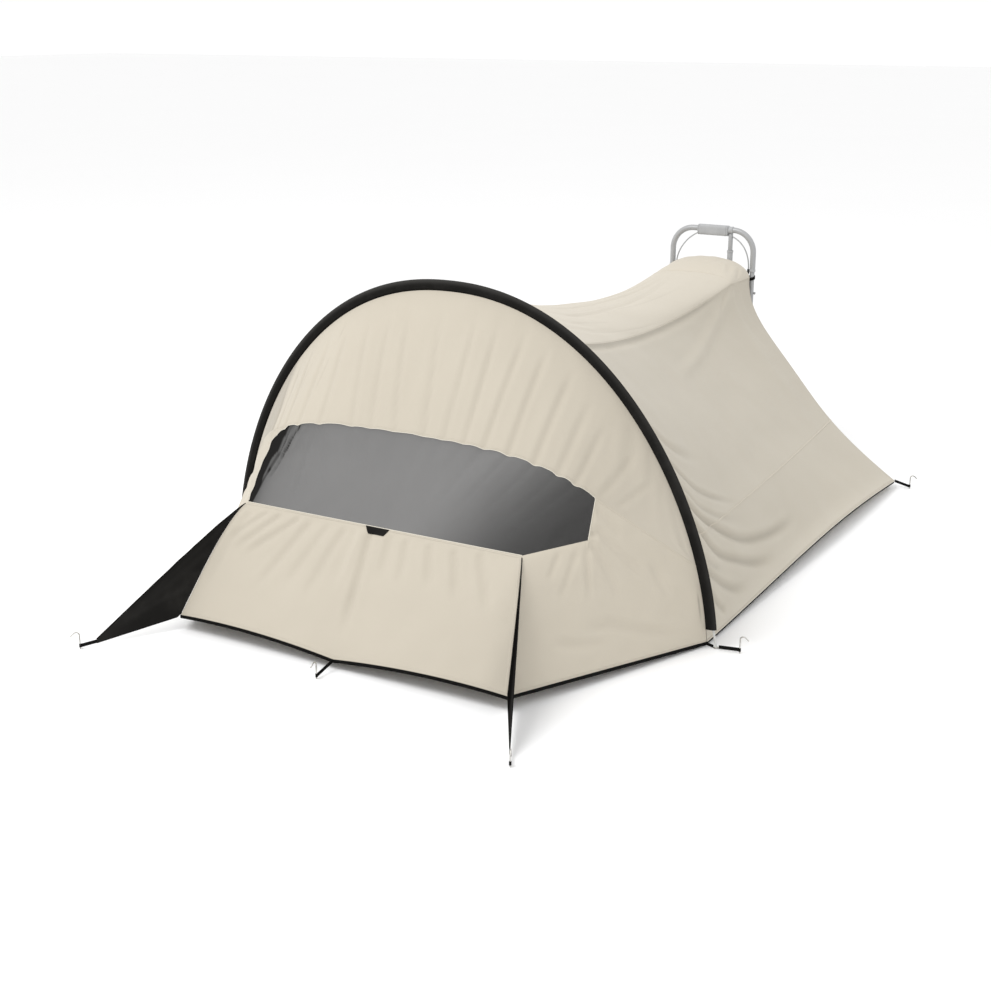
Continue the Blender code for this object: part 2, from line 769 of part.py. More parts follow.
def make_peg(name, place, outward):
    points = [Vector((0.0, 0.0)), Vector((0.0, PEG_SHAFT / 2)), Vector((0.0, PEG_SHAFT))]
    centre = Vector((PEG_HOOK_RADIUS, PEG_SHAFT))
    turns = 6
    for i in range(1, turns + 1):
        angle = math.pi - (math.pi - PEG_HOOK_END) * i / turns
        points.append(centre + PEG_HOOK_RADIUS * Vector((math.cos(angle), math.sin(angle))))
    tail = Vector((math.sin(PEG_HOOK_END), -math.cos(PEG_HOOK_END)))
    points.append(points[-1] + tail * PEG_HOOK_TAIL)
    path = [Vector((place[0], place[1], 0.0)) + outward * p.x + Vector((0.0, 0.0, p.y)) for p in points]
    tube(name, path, PEG_RADIUS, "peg_steel", sides=1)


def make_strap(name, start, place):
    """Webbing on edge, from the tarp to an eye round the peg's shaft."""
    centre = Vector((place[0], place[1], 0.0))
    towards = Vector((start.x - centre.x, start.y - centre.y, 0.0)).normalized()
    side = Vector((-towards.y, towards.x, 0.0))
    sectors = 12
    bore = PEG_RADIUS + GAP
    bm = bmesh.new()
    walls = {}
    for reach, wall in ((bore, "bore"), (STRAP_EYE_RADIUS, "outer")):
        for level in (-1.0, 1.0):
            ring = []
            for i in range(sectors):
                angle = 2.0 * math.pi * (i + 0.5) / sectors
                spot = centre + towards * (reach * math.cos(angle)) + side * (reach * math.sin(angle))
                spot.z = STRAP_EYE_Z + level * STRAP_HALF_HEIGHT
                ring.append(bm.verts.new(spot))
            walls[wall, level] = ring
    half = STRAP_EYE_RADIUS * math.sin(math.pi / sectors)
    far = {}
    for level in (-1.0, 1.0):
        for edge in (-1.0, 1.0):
            spot = start + side * (half * edge) + Vector((0.0, 0.0, level * STRAP_HALF_HEIGHT))
            far[edge, level] = bm.verts.new(spot)
    for i in range(sectors):
        j = (i + 1) % sectors
        bm.faces.new((walls["bore", -1.0][i], walls["bore", -1.0][j], walls["bore", 1.0][j], walls["bore", 1.0][i]))
        if j != 0:
            bm.faces.new((walls["outer", -1.0][i], walls["outer", -1.0][j],
                          walls["outer", 1.0][j], walls["outer", 1.0][i]))
        for level in (-1.0, 1.0):
            bm.faces.new((walls["bore", level][i], walls["bore", level][j],
                          walls["outer", level][j], walls["outer", level][i]))
    near = {(1.0, level): walls["outer", level][0] for level in (-1.0, 1.0)}
    near.update({(-1.0, level): walls["outer", level][-1] for level in (-1.0, 1.0)})
    for level in (-1.0, 1.0):
        bm.faces.new((near[1.0, level], near[-1.0, level], far[-1.0, level], far[1.0, level]))
    for edge in (-1.0, 1.0):
        bm.faces.new((near[edge, -1.0], near[edge, 1.0], far[edge, 1.0], far[edge, -1.0]))
    bm.faces.new((far[-1.0, -1.0], far[1.0, -1.0], far[1.0, 1.0], far[-1.0, 1.0]))
    mesh_object(name, bm, "webbing")


def make_front_anchor():
    outward = Vector((0.0, -1.0, 0.0))
    make_peg("peg_front", FRONT_PEG, outward)
    hem = front_hem(0.5)
    start = Vector((0.0, hem.y - WEBBING - 2.0 * GAP, hem.z - STRAP_DROP_FRONT))
    make_strap("strap_front", start, FRONT_PEG)


def make_side_anchors(side, word):
    fin_out = Vector((side * FIN_PEG_OUT[0], FIN_PEG_OUT[1], 0.0)).normalized()
    fin_place = (side * FIN_PEG[0], FIN_PEG[1])
    make_peg("peg_fin_" + word, fin_place, fin_out)
    tip = Vector((side * FIN_TIP.x, FIN_TIP.y, FIN_TIP.z))
    to_peg = Vector((fin_place[0] - tip.x, fin_place[1] - tip.y, 0.0)).normalized()
    start = tip + to_peg * (2.0 * GAP) - Vector((0.0, 0.0, STRAP_DROP_FIN))
    make_strap("strap_fin_" + word, start, fin_place)

    sideways = Vector((side, 0.0, 0.0))
    arch_place = (side * ARCH_PEG[0], ARCH_PEG[1])
    make_peg("peg_arch_" + word, arch_place, sideways)
    start = Vector((side * (POLE_TIP_X + GROMMET_RADIUS + GAP), 0.0, STRAP_HALF_HEIGHT + GAP))
    make_strap("strap_arch_" + word, start, arch_place)
    foot = Vector((side * POLE_TIP_X, 0.0, 0.0))
    collar("grommet_" + word, foot, foot + Vector((0.0, 0.0, GROMMET_HEIGHT)), GROMMET_RADIUS, GROMMET_BORE,
           "peg_steel", sides=12)

    rear_place = (side * REAR_PEG[0], REAR_PEG[1])
    make_peg("peg_rear_" + word, rear_place, sideways)
    corner = Vector((side * REAR_CORNER.x, REAR_CORNER.y, REAR_CORNER.z))
    out = Vector((rear_place[0] - corner.x, rear_place[1] - corner.y, 0.0)).normalized()
    make_strap("strap_rear_" + word, corner + out * (2.0 * GAP), rear_place)


def bow_points():
    """Centre line of the bow from its left end over the grip to its right end."""
    points = [Vector((BOW_HALF, FRAME_Y, LEG_JOINT_Z))]
    turns = 8
    for i in range(turns + 1):
        angle = math.pi / 2 * i / turns
        across = BOW_HALF - BOW_CORNER + BOW_CORNER * math.cos(angle)
        up = BOW_TOP - BOW_CORNER + BOW_CORNER * math.sin(angle)
        points.append(Vector((across, FRAME_Y, up)))
    return [mirrored(p) for p in points] + list(reversed(points))


def make_bow():
    tube("handle_bow", bow_points(), BOW_RADIUS, "frame_tube", sides=2)


def make_grip():
    rings = []
    count = 16
    for x in (-GRIP_HALF_LENGTH, GRIP_HALF_LENGTH):
        outer = []
        for i in range(count):
            angle = 2.0 * math.pi * (i + 0.5) / count
            reach = GRIP_UP if math.sin(angle) > 0 else GRIP_DOWN
            y = GRIP_HALF_DEPTH * power(math.cos(angle), 0.5)
            z = reach * power(math.sin(angle), 0.5)
            outer.append(Vector((x, FRAME_Y + y, BOW_TOP + z)))
        bore = ring_points(Vector((x, FRAME_Y, BOW_TOP)), Vector((0.0, 1.0, 0.0)), Vector((0.0, 0.0, 1.0)),
                           BOW_RADIUS + 2.0 * GAP, BOW_RADIUS + 2.0 * GAP, count)
        rings.append((outer, bore))
    ring_sweep("handle_grip", rings, "grip_plastic")


def make_post():
    top = Vector((POST_X, FRAME_Y, BOW_TOP - TEE_RADIUS - GAP))
    ring_top = Vector((POST_X, FRAME_Y, POST_JOINT_Z + POST_RING_HEIGHT / 2))
    ring_low = Vector((POST_X, FRAME_Y, POST_JOINT_Z - POST_RING_HEIGHT / 2))
    foot = Vector((POST_X, FRAME_Y, CROSSBAR_Z + CROSSBAR_RADIUS + GAP))
    level = Vector((0.0, 0.0, GAP))
    tee_start = Vector((POST_X - TEE_LENGTH / 2, FRAME_Y, BOW_TOP))
    tee_end = Vector((POST_X + TEE_LENGTH / 2, FRAME_Y, BOW_TOP))
    collar("tee_collar", tee_start, tee_end, TEE_RADIUS, BOW_RADIUS + 2.0 * GAP, "grip_plastic")
    rod("post_upper", ring_top + level, top, POST_UPPER_RADIUS, "frame_tube")
    rod("post_ring", ring_low, ring_top, POST_RING_RADIUS, "grip_plastic")
    rod("post_lower", foot, ring_low - level, POST_LOWER_RADIUS, "frame_tube")


def make_crossbar():
    reach = BOW_HALF - LEG_RADIUS - GAP
    rod("lower_crossbar", Vector((-reach, FRAME_Y, CROSSBAR_Z)), Vector((reach, FRAME_Y, CROSSBAR_Z)),
        CROSSBAR_RADIUS, "frame_tube")


def make_cap_bar():
    """Small bow in front of the legs that the cap lies on."""
    top = CAP_SIDE_Z + CAP_CREST_RISE - CLOTH - 2.0 * GAP - CAP_BAR_RADIUS - CAP_BAR_CLEAR
    points = []
    turns = 18
    for i in range(turns + 1):
        angle = math.pi * i / turns
        across = CAP_BAR_HALF * power(math.cos(angle), CAP_POWER)
        up = CAP_BAR_END_Z + (top - CAP_BAR_END_Z) * math.sin(angle) ** CAP_POWER
        y = CAP_CREST_Y + (CAP_BAR_END_Y - CAP_CREST_Y) * (1.0 - math.sin(angle)) ** 2
        points.append(Vector((across, y, up)))
    tube("cap_bar", points, CAP_BAR_RADIUS, "frame_tube", sides=2)


def make_leg(side, word):
    x = side * BOW_HALF
    ground = Vector((x, FRAME_Y, 0.0))
    foot_top = Vector((x, FRAME_Y, FOOT_HEIGHT))
    joint = Vector((x, FRAME_Y, LEG_JOINT_Z))
    level = Vector((0.0, 0.0, GAP))
    rod("leg_foot_" + word, ground, foot_top, FOOT_RADIUS, "rubber")
    rod("leg_" + word, foot_top + level, joint - level, LEG_RADIUS, "frame_tube")
    collar_top = joint - level
    collar("leg_collar_" + word, collar_top - Vector((0.0, 0.0, COLLAR_HEIGHT)), collar_top, COLLAR_RADIUS,
           LEG_RADIUS + GAP, "grip_plastic")
    lug_x = side * (BOW_HALF - COLLAR_RADIUS - GAP - LUG_SIZE[0] / 2)
    lug_centre = Vector((lug_x, FRAME_Y, LEG_JOINT_Z - LUG_SIZE[2] / 2))
    block("cable_lug_" + word, lug_centre, LUG_SIZE, "rubber")
    knob_start = Vector((side * (BOW_HALF + LEG_RADIUS + GAP), FRAME_Y, KNOB_Z))
    rod("lock_knob_" + word, knob_start, knob_start + Vector((side * KNOB_LENGTH, 0.0, 0.0)), KNOB_RADIUS,
        "grip_plastic", sides=12)
    strap_low = Vector((x, FRAME_Y, LEG_STRAP_Z - WEBBING_WIDTH / 2))
    strap_top = Vector((x, FRAME_Y, LEG_STRAP_Z + WEBBING_WIDTH / 2))
    collar("leg_strap_" + word, strap_low, strap_top, LEG_RADIUS + GAP + LEG_STRAP_WALL, LEG_RADIUS + GAP,
           "webbing")


def make_cable(side, word):
    """Thin cable from the grip's end or the post, in an arc inside the bow, to the lug at the leg joint."""
    lug_x = side * (BOW_HALF - COLLAR_RADIUS - GAP - LUG_SIZE[0] / 2)
    foot = Vector((lug_x, FRAME_Y, LEG_JOINT_Z + GAP))
    end = foot + Vector((0.0, 0.0, CABLE_END_STRAIGHT))
    if side > 0:
        head = Vector((POST_X + POST_UPPER_RADIUS + GAP, FRAME_Y, BOW_TOP - CABLE_POST_DROP))
    else:
        head = Vector((-GRIP_HALF_LENGTH - GAP, FRAME_Y, BOW_TOP - CABLE_GRIP_DROP))
    start = head + Vector((side * CABLE_END_STRAIGHT, 0.0, 0.0))
    pull_start = start + Vector((side * CABLE_OUT, 0.0, -CABLE_DROP))
    pull_end = end + Vector((0.0, 0.0, CABLE_RISE))
    points = []
    turns = 10
    for i in range(turns + 1):
        share = i / turns
        a = start.lerp(pull_start, share)
        b = pull_start.lerp(pull_end, share)
        c = pull_end.lerp(end, share)
        points.append(a.lerp(b, share).lerp(b.lerp(c, share), share))
    tube("release_cable_" + word, [head] + points + [foot], CABLE_RADIUS, "grip_plastic", sides=1)


def make_model():
    global carrier
    clear_scene()
    carrier = bpy.data.objects.new("tarp_frame", None)
    carrier.location = (0.0, ARCH_PLACE_Y, 0.0)
    bpy.context.scene.collection.objects.link(carrier)
    make_hood()
    make_window()
    make_front_wall()
    both_sides(make_bulwark)
    both_sides(make_fin)
    make_roof()
    make_cap()
    both_sides(make_side_walls)
    make_sleeve()
    make_pole()
    make_hem_webbing()
    make_front_anchor()
    both_sides(make_side_anchors)
    make_bow()
    make_grip()
    make_post()
    make_crossbar()
    make_cap_bar()
    both_sides(make_leg)
    both_sides(make_cable)


make_model()
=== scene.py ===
"""Looks of the camping tarp: its cloth, webbing, pegs and rear frame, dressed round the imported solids.

Metres, +Z up. Shapes are worked out from the middle of the arch at ground level, and every mesh is moved to
the frame's own origin as it is made.
"""
import copy
import math

import bpy
import bmesh
import numpy as np
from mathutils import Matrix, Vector, noise


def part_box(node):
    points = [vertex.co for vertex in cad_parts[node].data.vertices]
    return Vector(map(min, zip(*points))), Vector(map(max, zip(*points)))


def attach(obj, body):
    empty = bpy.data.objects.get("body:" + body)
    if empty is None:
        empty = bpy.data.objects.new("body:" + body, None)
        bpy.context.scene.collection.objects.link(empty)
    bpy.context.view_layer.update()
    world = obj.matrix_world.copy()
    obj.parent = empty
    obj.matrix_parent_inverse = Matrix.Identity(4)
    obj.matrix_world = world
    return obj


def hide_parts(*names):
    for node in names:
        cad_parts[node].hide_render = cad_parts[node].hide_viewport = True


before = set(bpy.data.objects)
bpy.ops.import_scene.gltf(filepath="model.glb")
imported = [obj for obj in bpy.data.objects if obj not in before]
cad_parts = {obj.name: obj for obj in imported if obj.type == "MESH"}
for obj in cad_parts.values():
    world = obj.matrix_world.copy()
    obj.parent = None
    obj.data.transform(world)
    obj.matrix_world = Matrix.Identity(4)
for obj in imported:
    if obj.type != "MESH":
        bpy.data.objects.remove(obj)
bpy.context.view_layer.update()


def middle_of(node):
    low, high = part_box(node)
    return (low + high) / 2


ARCH_PLACE = Vector((0.0, middle_of("grommet_right").y, 0.0))
UP = np.array((0.0, 0.0, 1.0))
SIDES = ((1, "right"), (-1, "left"))

# Arch and its sleeve; a place named T is an angle round the arch from its right foot, in radians
ARCH_HALF_WIDTH = 0.977
ARCH_HEIGHT = 1.1175
ARCH_X_POWER = 0.9235
ARCH_Z_POWER = 1.1675
ARCH_LEAN = -0.0386
SLEEVE_HALF_WIDTH = 0.0165
SLEEVE_HALF_DEPTH = 0.008
SLEEVE_SWELL = 0.0034
SLEEVE_SIDES = 32
SLEEVE_BLUNTNESS = 0.8
SLEEVE_THINNED = 0.35
WRINKLE_PITCH = 55.0
WRINKLE_ROUND = 2.2
WRINKLE_SLANT = 0.6
WRINKLE_HEIGHT = 0.07
WRINKLE_SEED = 2.0
POLE_RADIUS = 0.004
POLE_OFFSET = 0.0085
POLE_TIP = Vector((middle_of("grommet_right").x, 0.0, 0.001))
T_HEM = 0.0263
T_SLEEVE_END = 0.085
T_HOOD_SEAM = 0.322
T_SIDE_SEAM = 0.385
T_WINDOW_LOW = 0.467
T_WINDOW_HIGH = 0.684
T_ROOF = 1.12
T_TOP = math.pi / 2
HOOD_SEAM_CLEAR = 0.006
GAP = 0.0003
SEAM_Y = 0.002
T_STEP = 0.004
BULWARK_PLACES = (T_HEM, T_SLEEVE_END, 0.164, 0.243, T_HOOD_SEAM - HOOD_SEAM_CLEAR)
LOWER_SIDE_PLACES = (T_HEM, T_SLEEVE_END, 0.164, 0.243, T_HOOD_SEAM, T_SIDE_SEAM)
UPPER_SIDE_PLACES = (T_SIDE_SEAM, T_WINDOW_LOW, 0.5755, T_WINDOW_HIGH, 0.793, 0.902, 1.011, T_ROOF)

# Front panels
SILL_CORNER = np.array((0.536, -0.494, 0.396))
HEM_CORNER = np.array((0.635, -0.758, 0.051))
HEM_MIDDLE_Y = -0.763
HEM_MIDDLE_Z = 0.031
HEM_ARCH = 0.013
HEM_PULL_POWER = 1.3
SILL_CURVE = 3
SILL_SPREAD = 0.6
WINDOW_RISE_MIDDLE = 0.385
WINDOW_RISE_END = 0.533
WINDOW_RISE_LOW = 0.389
WINDOW_RISE_POWER = 3
HOOD_SEAM_POWER = 1.4

# Roof, cap, sides and rear edges
ROOF_BOW = 0.072
ROOF_SAG = 0.100
ROOF_SAG_SKEW = 0.10
CAP_FRONT_Y = 2.05
CAP_CREST_Y = 2.255
CAP_REAR_Y = 2.28
CAP_HALF = 0.195
CAP_FRONT_Z = 0.830
CAP_SIDE_Z = 0.826
CAP_FRONT_RISE = 0.041
CAP_CREST_RISE = 0.088
CAP_REAR_DROP = 0.040
CAP_POWER = 0.9
CREST_SHARE = 0.8
REAR_CORNER = np.array((1.004, 2.045, 0.030))
REAR_EDGE_PULL = np.array((0.262, 2.280, 0.457))
REAR_EDGE_WAVE = 0.014
SIDE_HEM_ARCH = 0.032
SIDE_HEM_POWER = 1.4
SIDE_SEAM_REAR = 0.755
SIDE_SEAM_SAG = 0.015
BULWARK_WINDOW_SHARE = 0.3
BULWARK_UPRIGHT_SHARE = 0.5
SIDE_ROOF_SHARE = 0.875
LOWER_ROWS_SHARE = 0.25

# Fins and the window's tab
FIN_TIP = np.array((0.783, -1.004, 0.017))
FIN_TIP_HALF = 0.007
FIN_DIP = 0.0115
FIN_DIP_RUN = 0.06
FIN_BULGE = 0.010
FIN_BULGE_POWER = 0.6
FIN_TOP_SHARE = 0.01
FIN_FOOT_RISE = 0.012
FIN_THICKNESS = 0.0016
FIN_CLEAR_TOP = 0.0006
FIN_CLEAR_FOOT = 0.0012
CORNER_BOW = 0.027
CORNER_BOW_POWER = 0.55
CORNER_BOW_FADE = 8
TAB_HALF_TOP = 0.046
TAB_HALF_LOW = 0.030
TAB_LAP = 0.002
TAB_DROP = 0.024

# Window: the far end of the net, painted black as shade, and the cloth that laps over it, by shares up and
# along
WINDOW_FAR_V = (0.0, 0.12, 0.44, 0.642, 0.733, 0.845, 0.956, 1.0)
WINDOW_FAR_U = (0.034, 0.052, 0.106, 0.163, 0.206, 0.232, 0.264, 0.276)
WINDOW_FAR_BEFORE = 0.004
WINDOW_FAR_AFTER = 0.014
WINDOW_LAP_V = (0.0, 0.271, 0.581, 0.709, 0.894, 0.950, 0.978, 1.0)
WINDOW_LAP_U = (0.004, 0.012, 0.064, 0.120, 0.174, 0.212, 0.247, 0.268)
WINDOW_LAP_START = 0.06
WINDOW_LAP_WAVE = 0.004
WINDOW_LAP_WAVES = 34.0
SCALLOP = 0.0052
SCALLOP_SPREAD = 0.011
SCALLOP_FADE = 3
FOLLOW_POWER = 1.5
HOOD_FREE_FADE = 0.05

# Meshes
SHARP_FROM = math.radians(50)

# Cloth and trimmings
CLOTH = 0.0007
MESH_CLOTH = 0.0005
WEBBING = 0.0015
WEBBING_WIDTH = 0.012
STRAP_THICKNESS = 0.0011
PIPING_RADIUS = 0.0019
ROLL_RADIUS = 0.0013
ROLL_LIFT = 0.0006
LAP_EDGE_RADIUS = 0.0012
FIN_BINDING_RADIUS = 0.0016
SIDE_TAPE_WIDTH = 0.011
SIDE_TAPE_THICKNESS = 0.0012
SIDE_TAPE_LAP = 0.001
SIDE_FOLD_OUT = 0.0005
FLAT_CORNER = 0.3
HEM_OUT = (0.5, -0.87)
# Half of how much lower the black hem band reaches than the webbing: partly the hem's fold, partly a dark
# stand-in for the shadow just under the hem
HEM_FOLD_AND_SHADOW = 0.0012
HEM_LAP = 0.002
HEM_WIDTH = 0.012
SEAM_WIDTH = 0.0106
FINE_SEAM_WIDTH = 0.0065
FINE_SEAM_LIFT = 0.0010
WINDOW_SEAM_WIDTH = 0.009
SILL_SEAM_WIDTH = 0.008
HOOD_OVER_WINDOW = (0.15, 0.85)
STRIP_LIFT = 0.0007
STRIP_ROOT = -0.0004
STRIP_STEP = 0.008
STRIP_PROFILE = ((0.0, 0.0), (0.06, 0.6), (0.25, 1.0), (0.5, 0.9), (0.75, 1.0), (0.94, 0.6), (1.0, 0.0))

# Inner line that the outer side of each panel faces away from
INSIDE_FRONT_Y = -0.25
INSIDE_REAR_Y = 1.9
INSIDE_Z = 0.15
CAP_INSIDE_Z = 0.6

# Folds and creases
# The height over width squared of a fold whose hollow gets the full painted shade
FULL_HOLLOW = 39.0
CREASE_DEPTH = 0.0008
SIDE_ROWS = 132
LOWER_ROWS = round(SIDE_ROWS * LOWER_ROWS_SHARE)

# Painted shade and light on the cloth, stored at each point: above 0 darker as painted shade, below 0 paler
# as painted light
# Painted shade on the hood's strip beside the sleeve, and painted light on its right end
HOOD_STRIP = (0.205, 0.222)
HOOD_STRIP_PAINTED_SHADE = 0.28
HOOD_END_PAINTED_LIGHT = -0.10
# Painted shade on the net: beside its black far end, wider across it, and under the hood
WINDOW_NEAR_PAINTED_SHADE = 0.38
WINDOW_NEAR_REACH = 0.05
WINDOW_WIDE_PAINTED_SHADE = 0.24
WINDOW_WIDE_REACH = 0.20
WINDOW_UNDER_PAINTED_SHADE = 0.20
WINDOW_UNDER_REACH = 0.010
# Painted shade on the bulwark beside the fin
BULWARK_FIN_PAINTED_SHADE = 0.12
BULWARK_FIN_REACH = 0.035
# Painted light along the cap's crest
CAP_CREST_PAINTED_LIGHT = -0.10
CAP_CREST_REACH = 0.035
# Painted light along the side wall's hem
SIDE_HEM_PAINTED_LIGHT = -0.11
SIDE_HEM_REACH = 0.055
# Painted shade at each fin's root and painted light towards its tip
FIN_PAINTED_SHADE_AND_LIGHT = {"right": (0.75, -0.35), "left": (0.0, -0.10)}
# Painted shade on the sleeve's edge towards the tarp and painted light on its upturned edge, least at the
# right foot
SLEEVE_INNER_PAINTED_SHADE = 0.90
SLEEVE_OUTER_PAINTED_LIGHT = -0.75
SLEEVE_PAINTED_LEAST = 0.35

# Rings, pegs and their straps
GROMMET_RADIUS = 0.009
GROMMET_BORE = 0.0049
PEG_RADIUS = 0.00225
PEG_SHAFT = 0.048
PEG_HOOK_RADIUS = 0.0115
PEG_HOOK_END = math.radians(50)
PEG_HOOK_TAIL = 0.014
PEG_TAIL_SHARES = (0.3, 0.6, 0.9, 0.97, 1.0)
PEG_TIP_SCALES = (0.85, 0.45)
STRAP_EYE_Z = 0.012
STRAP_NECK = 0.004
FRONT_STRAP_DROP = 0.003
FIN_STRAP_DROP = 0.001
ARCH_STRAP_Z = 0.0063
STRAP_LAYERS_APART = 0.0001
STRAP_EYE_OPENING = math.radians(50)
FRONT_PEG = np.array((0.0, -0.851))
FIN_PEG = np.array((0.811, -1.051))
FIN_PEG_OUT = np.array((0.55, -0.835))
ARCH_PEG = np.array((1.076, 0.0))
REAR_PEG = np.array((1.068, 2.060))

# Rear frame
FRAME_Y = 2.30
BOW_HALF = 0.20
BOW_TOP = 1.035
BOW_CORNER = 0.10
BOW_RADIUS = 0.013
LEG_RADIUS = 0.0108
LEG_JOINT_Z = 0.862
FOOT_RADIUS = 0.0145
FOOT_HEIGHT = 0.030
COLLAR_RADIUS = 0.0145
COLLAR_HEIGHT = 0.012
GRIP_HALF_LENGTH = 0.075
GRIP_HALF_DEPTH = 0.018
GRIP_UP = 0.019
GRIP_DOWN = 0.029
GRIP_SIDES = 40
GRIP_CORNER = 0.5
GRIP_END_FROM = 0.96
GRIP_END_TAPER = 0.12
GRIP_RIM_AT = 0.90
GRIP_RIM_SPREAD = 0.016
GRIP_RIM_DEPTH = 0.10
GRIP_GROOVES = 9.0
GRIP_GROOVED = 0.85
GRIP_GROOVE_DEPTH = 0.035
GRIP_GROOVE_SPREAD = 0.012
TEE_RADIUS = 0.0165
TEE_LENGTH = 0.022
POST_X = GRIP_HALF_LENGTH + GAP + TEE_LENGTH / 2
POST_UPPER_RADIUS = 0.0105
POST_LOWER_RADIUS = 0.013
POST_RING_RADIUS = 0.0148
POST_RING_HEIGHT = 0.010
POST_JOINT_Z = 0.937
CROSSBAR_Z = 0.62
CROSSBAR_RADIUS = 0.009
CAP_BAR_RADIUS = 0.007
CAP_BAR_CLEAR = 0.003
CAP_BAR_HALF = 0.1855
CAP_BAR_END_Y = 2.28925
CAP_BAR_END_Z = 0.79
LUG_SIZE = (0.010, 0.008, 0.022)
LUG_CORNER = 0.45
CABLE_RADIUS = 0.003
CABLE_OUT = 0.055
CABLE_DROP = 0.025
CABLE_RISE = 0.060
CABLE_END_STRAIGHT = 0.003
CABLE_GRIP_DROP = 0.0225
CABLE_POST_DROP = 0.032
KNOB_RADIUS = 0.006
KNOB_LENGTH = 0.010
KNOB_Z = 0.752
LEG_STRAP_Z = 0.822
LEG_BAND_TURNS = 1.15
LEG_BAND_SLANT = 0.024
LEG_BAND_HALF = 0.007
LEG_BAND_THICKNESS = 0.0022
LEG_BAND_CLEAR = 0.0002
LEG_BAND_REACH = LEG_RADIUS + GAP + LEG_BAND_THICKNESS / 2 + LEG_BAND_CLEAR
LEG_BAND_GROWTH = 0.0024
LEG_BAND_START = 0.95
LEG_TAIL_HALF = 0.006
LEG_TAIL_THICKNESS = 0.0016
LEG_TAIL_LENGTH = 0.078
LEG_TAIL_RISE = 0.010
LEG_TAIL_OUT = 0.0026
LEG_TAIL_FORWARD = 0.003
LEG_TAIL_LEAN = 0.004
LEG_TAIL_SWAY = 0.006
LEG_TAIL_SWAY_TURN = 0.7

# Colours
CANVAS_LIGHT = (0.514, 0.469, 0.389)
CANVAS_DARK = (0.487, 0.442, 0.365)
# Painted light: a paler copy of the canvas for the bulwarks and the side seams
WING_PAINTED_LIGHT_PALE = (0.562, 0.513, 0.426)
WING_PAINTED_LIGHT_DEEP = (0.534, 0.485, 0.400)
# Painted light: a paler copy of the canvas for the roof and the cap
ROOF_PAINTED_LIGHT_PALE = (0.590, 0.542, 0.456)
ROOF_PAINTED_LIGHT_DEEP = (0.559, 0.511, 0.427)
# Painted shade: a slightly darker copy of the canvas for the side walls and their hems
SIDE_PAINTED_SHADE_PALE = (0.510, 0.468, 0.389)
SIDE_PAINTED_SHADE_DEEP = (0.479, 0.437, 0.360)
PIPING_LIGHT = (0.72, 0.68, 0.59)
PIPING_DARK = (0.68, 0.64, 0.55)
# Painted shade for the canvas's hollows and creases, and painted light for its ridges
CANVAS_PAINTED_SHADE = (0.090, 0.076, 0.058)
CANVAS_PAINTED_LIGHT = (0.95, 0.90, 0.80)
BLACK_LIGHT = (0.0230, 0.0220, 0.0205)
BLACK_DARK = (0.0140, 0.0135, 0.0127)
# Painted shade for the black cloth's hollows, and painted light for its ridges and the sleeve's upturned edge
BLACK_PAINTED_SHADE = (0.0012, 0.0012, 0.0011)
BLACK_PAINTED_LIGHT = (0.060, 0.058, 0.055)
BLACK_THREAD = (0.030, 0.029, 0.027)
WEBBING_LIGHT = (0.016, 0.0155, 0.015)
WEBBING_DARK = (0.005, 0.005, 0.005)
NET_LIGHT = (0.229, 0.227, 0.224)
NET_DARK = (0.174, 0.172, 0.170)
# Painted shade and painted light for the net
NET_SHADED = (0.016, 0.0155, 0.015)
NET_PAINTED_LIGHT = (0.60, 0.60, 0.59)
WIRE_LIGHT = (0.62, 0.61, 0.58)
WIRE_DARK = (0.34, 0.33, 0.31)
TUBE_LIGHT = (0.415, 0.42, 0.425)
TUBE_DARK = (0.345, 0.35, 0.355)
TUBE_WORN = (0.55, 0.555, 0.56)
POLE_LIGHT = (0.62, 0.62, 0.60)
POLE_DARK = (0.52, 0.52, 0.50)
GRIP_LIGHT = (0.43, 0.435, 0.44)
GRIP_DARK = (0.37, 0.375, 0.38)
CABLE_LIGHT = (0.42, 0.425, 0.43)
CABLE_DARK = (0.36, 0.365, 0.37)
RUBBER_LIGHT = (0.030, 0.030, 0.030)
RUBBER_DARK = (0.018, 0.018, 0.018)
FLOOR_LIGHT = (0.95, 0.95, 0.95)
FLOOR_DARK = (0.94, 0.94, 0.94)

# Pitch of the threads
CANVAS_PITCH = 0.0011
BLACK_PITCH = 0.0009
RIB_PITCH = 0.0021
CORD_PITCH = 0.0016
NET_PITCH = 0.0013
STITCH_PITCH = 0.0036
STITCH_SHARE = 0.68
STITCH_HALF = 0.0005
SEAM_ROWS = (0.0024, 0.0082)
HEM_ROWS = (0.0018, 0.0102)
FINE_SEAM_ROWS = (0.0014, 0.0056)
TAB_ROWS = (0.0020, 0.0060)

# Camera, found from the arch, the hems and the pegs in the photograph
CAMERA_PLACE = Vector((2.636, -4.286, 1.980))
CAMERA_YAW = -0.5246
CAMERA_PITCH = 0.3102
FOCAL_PIXELS = 1496.0
IMAGE_PIXELS = 991
SENSOR_MM = 36.0

# Studio
FLOOR_REACH = 60.0
SKY_STRENGTH = 1.02
LAMP_PLACE = (-2.6, -3.9, 7.1)
LAMP_AIM = (0.0, 0.0, 0.3)
LAMP_SIZE = 5.0
LAMP_WATTS = 285.0


# Curves of the tarp

def power(value, exponent):
    return np.sign(value) * np.abs(value) ** exponent


def unit(vectors):
    return vectors / np.maximum(np.linalg.norm(vectors, axis=-1, keepdims=True), 1e-12)


def mirrored(points):
    return points * np.array((-1.0, 1.0, 1.0))


def lerp(a, b, share):
    share = np.asarray(share, float)[..., None]
    return a * (1.0 - share) + b * share


def smooth(low, high, value):
    share = np.clip((value - low) / (high - low), 0.0, 1.0)
    return share * share * (3.0 - 2.0 * share)


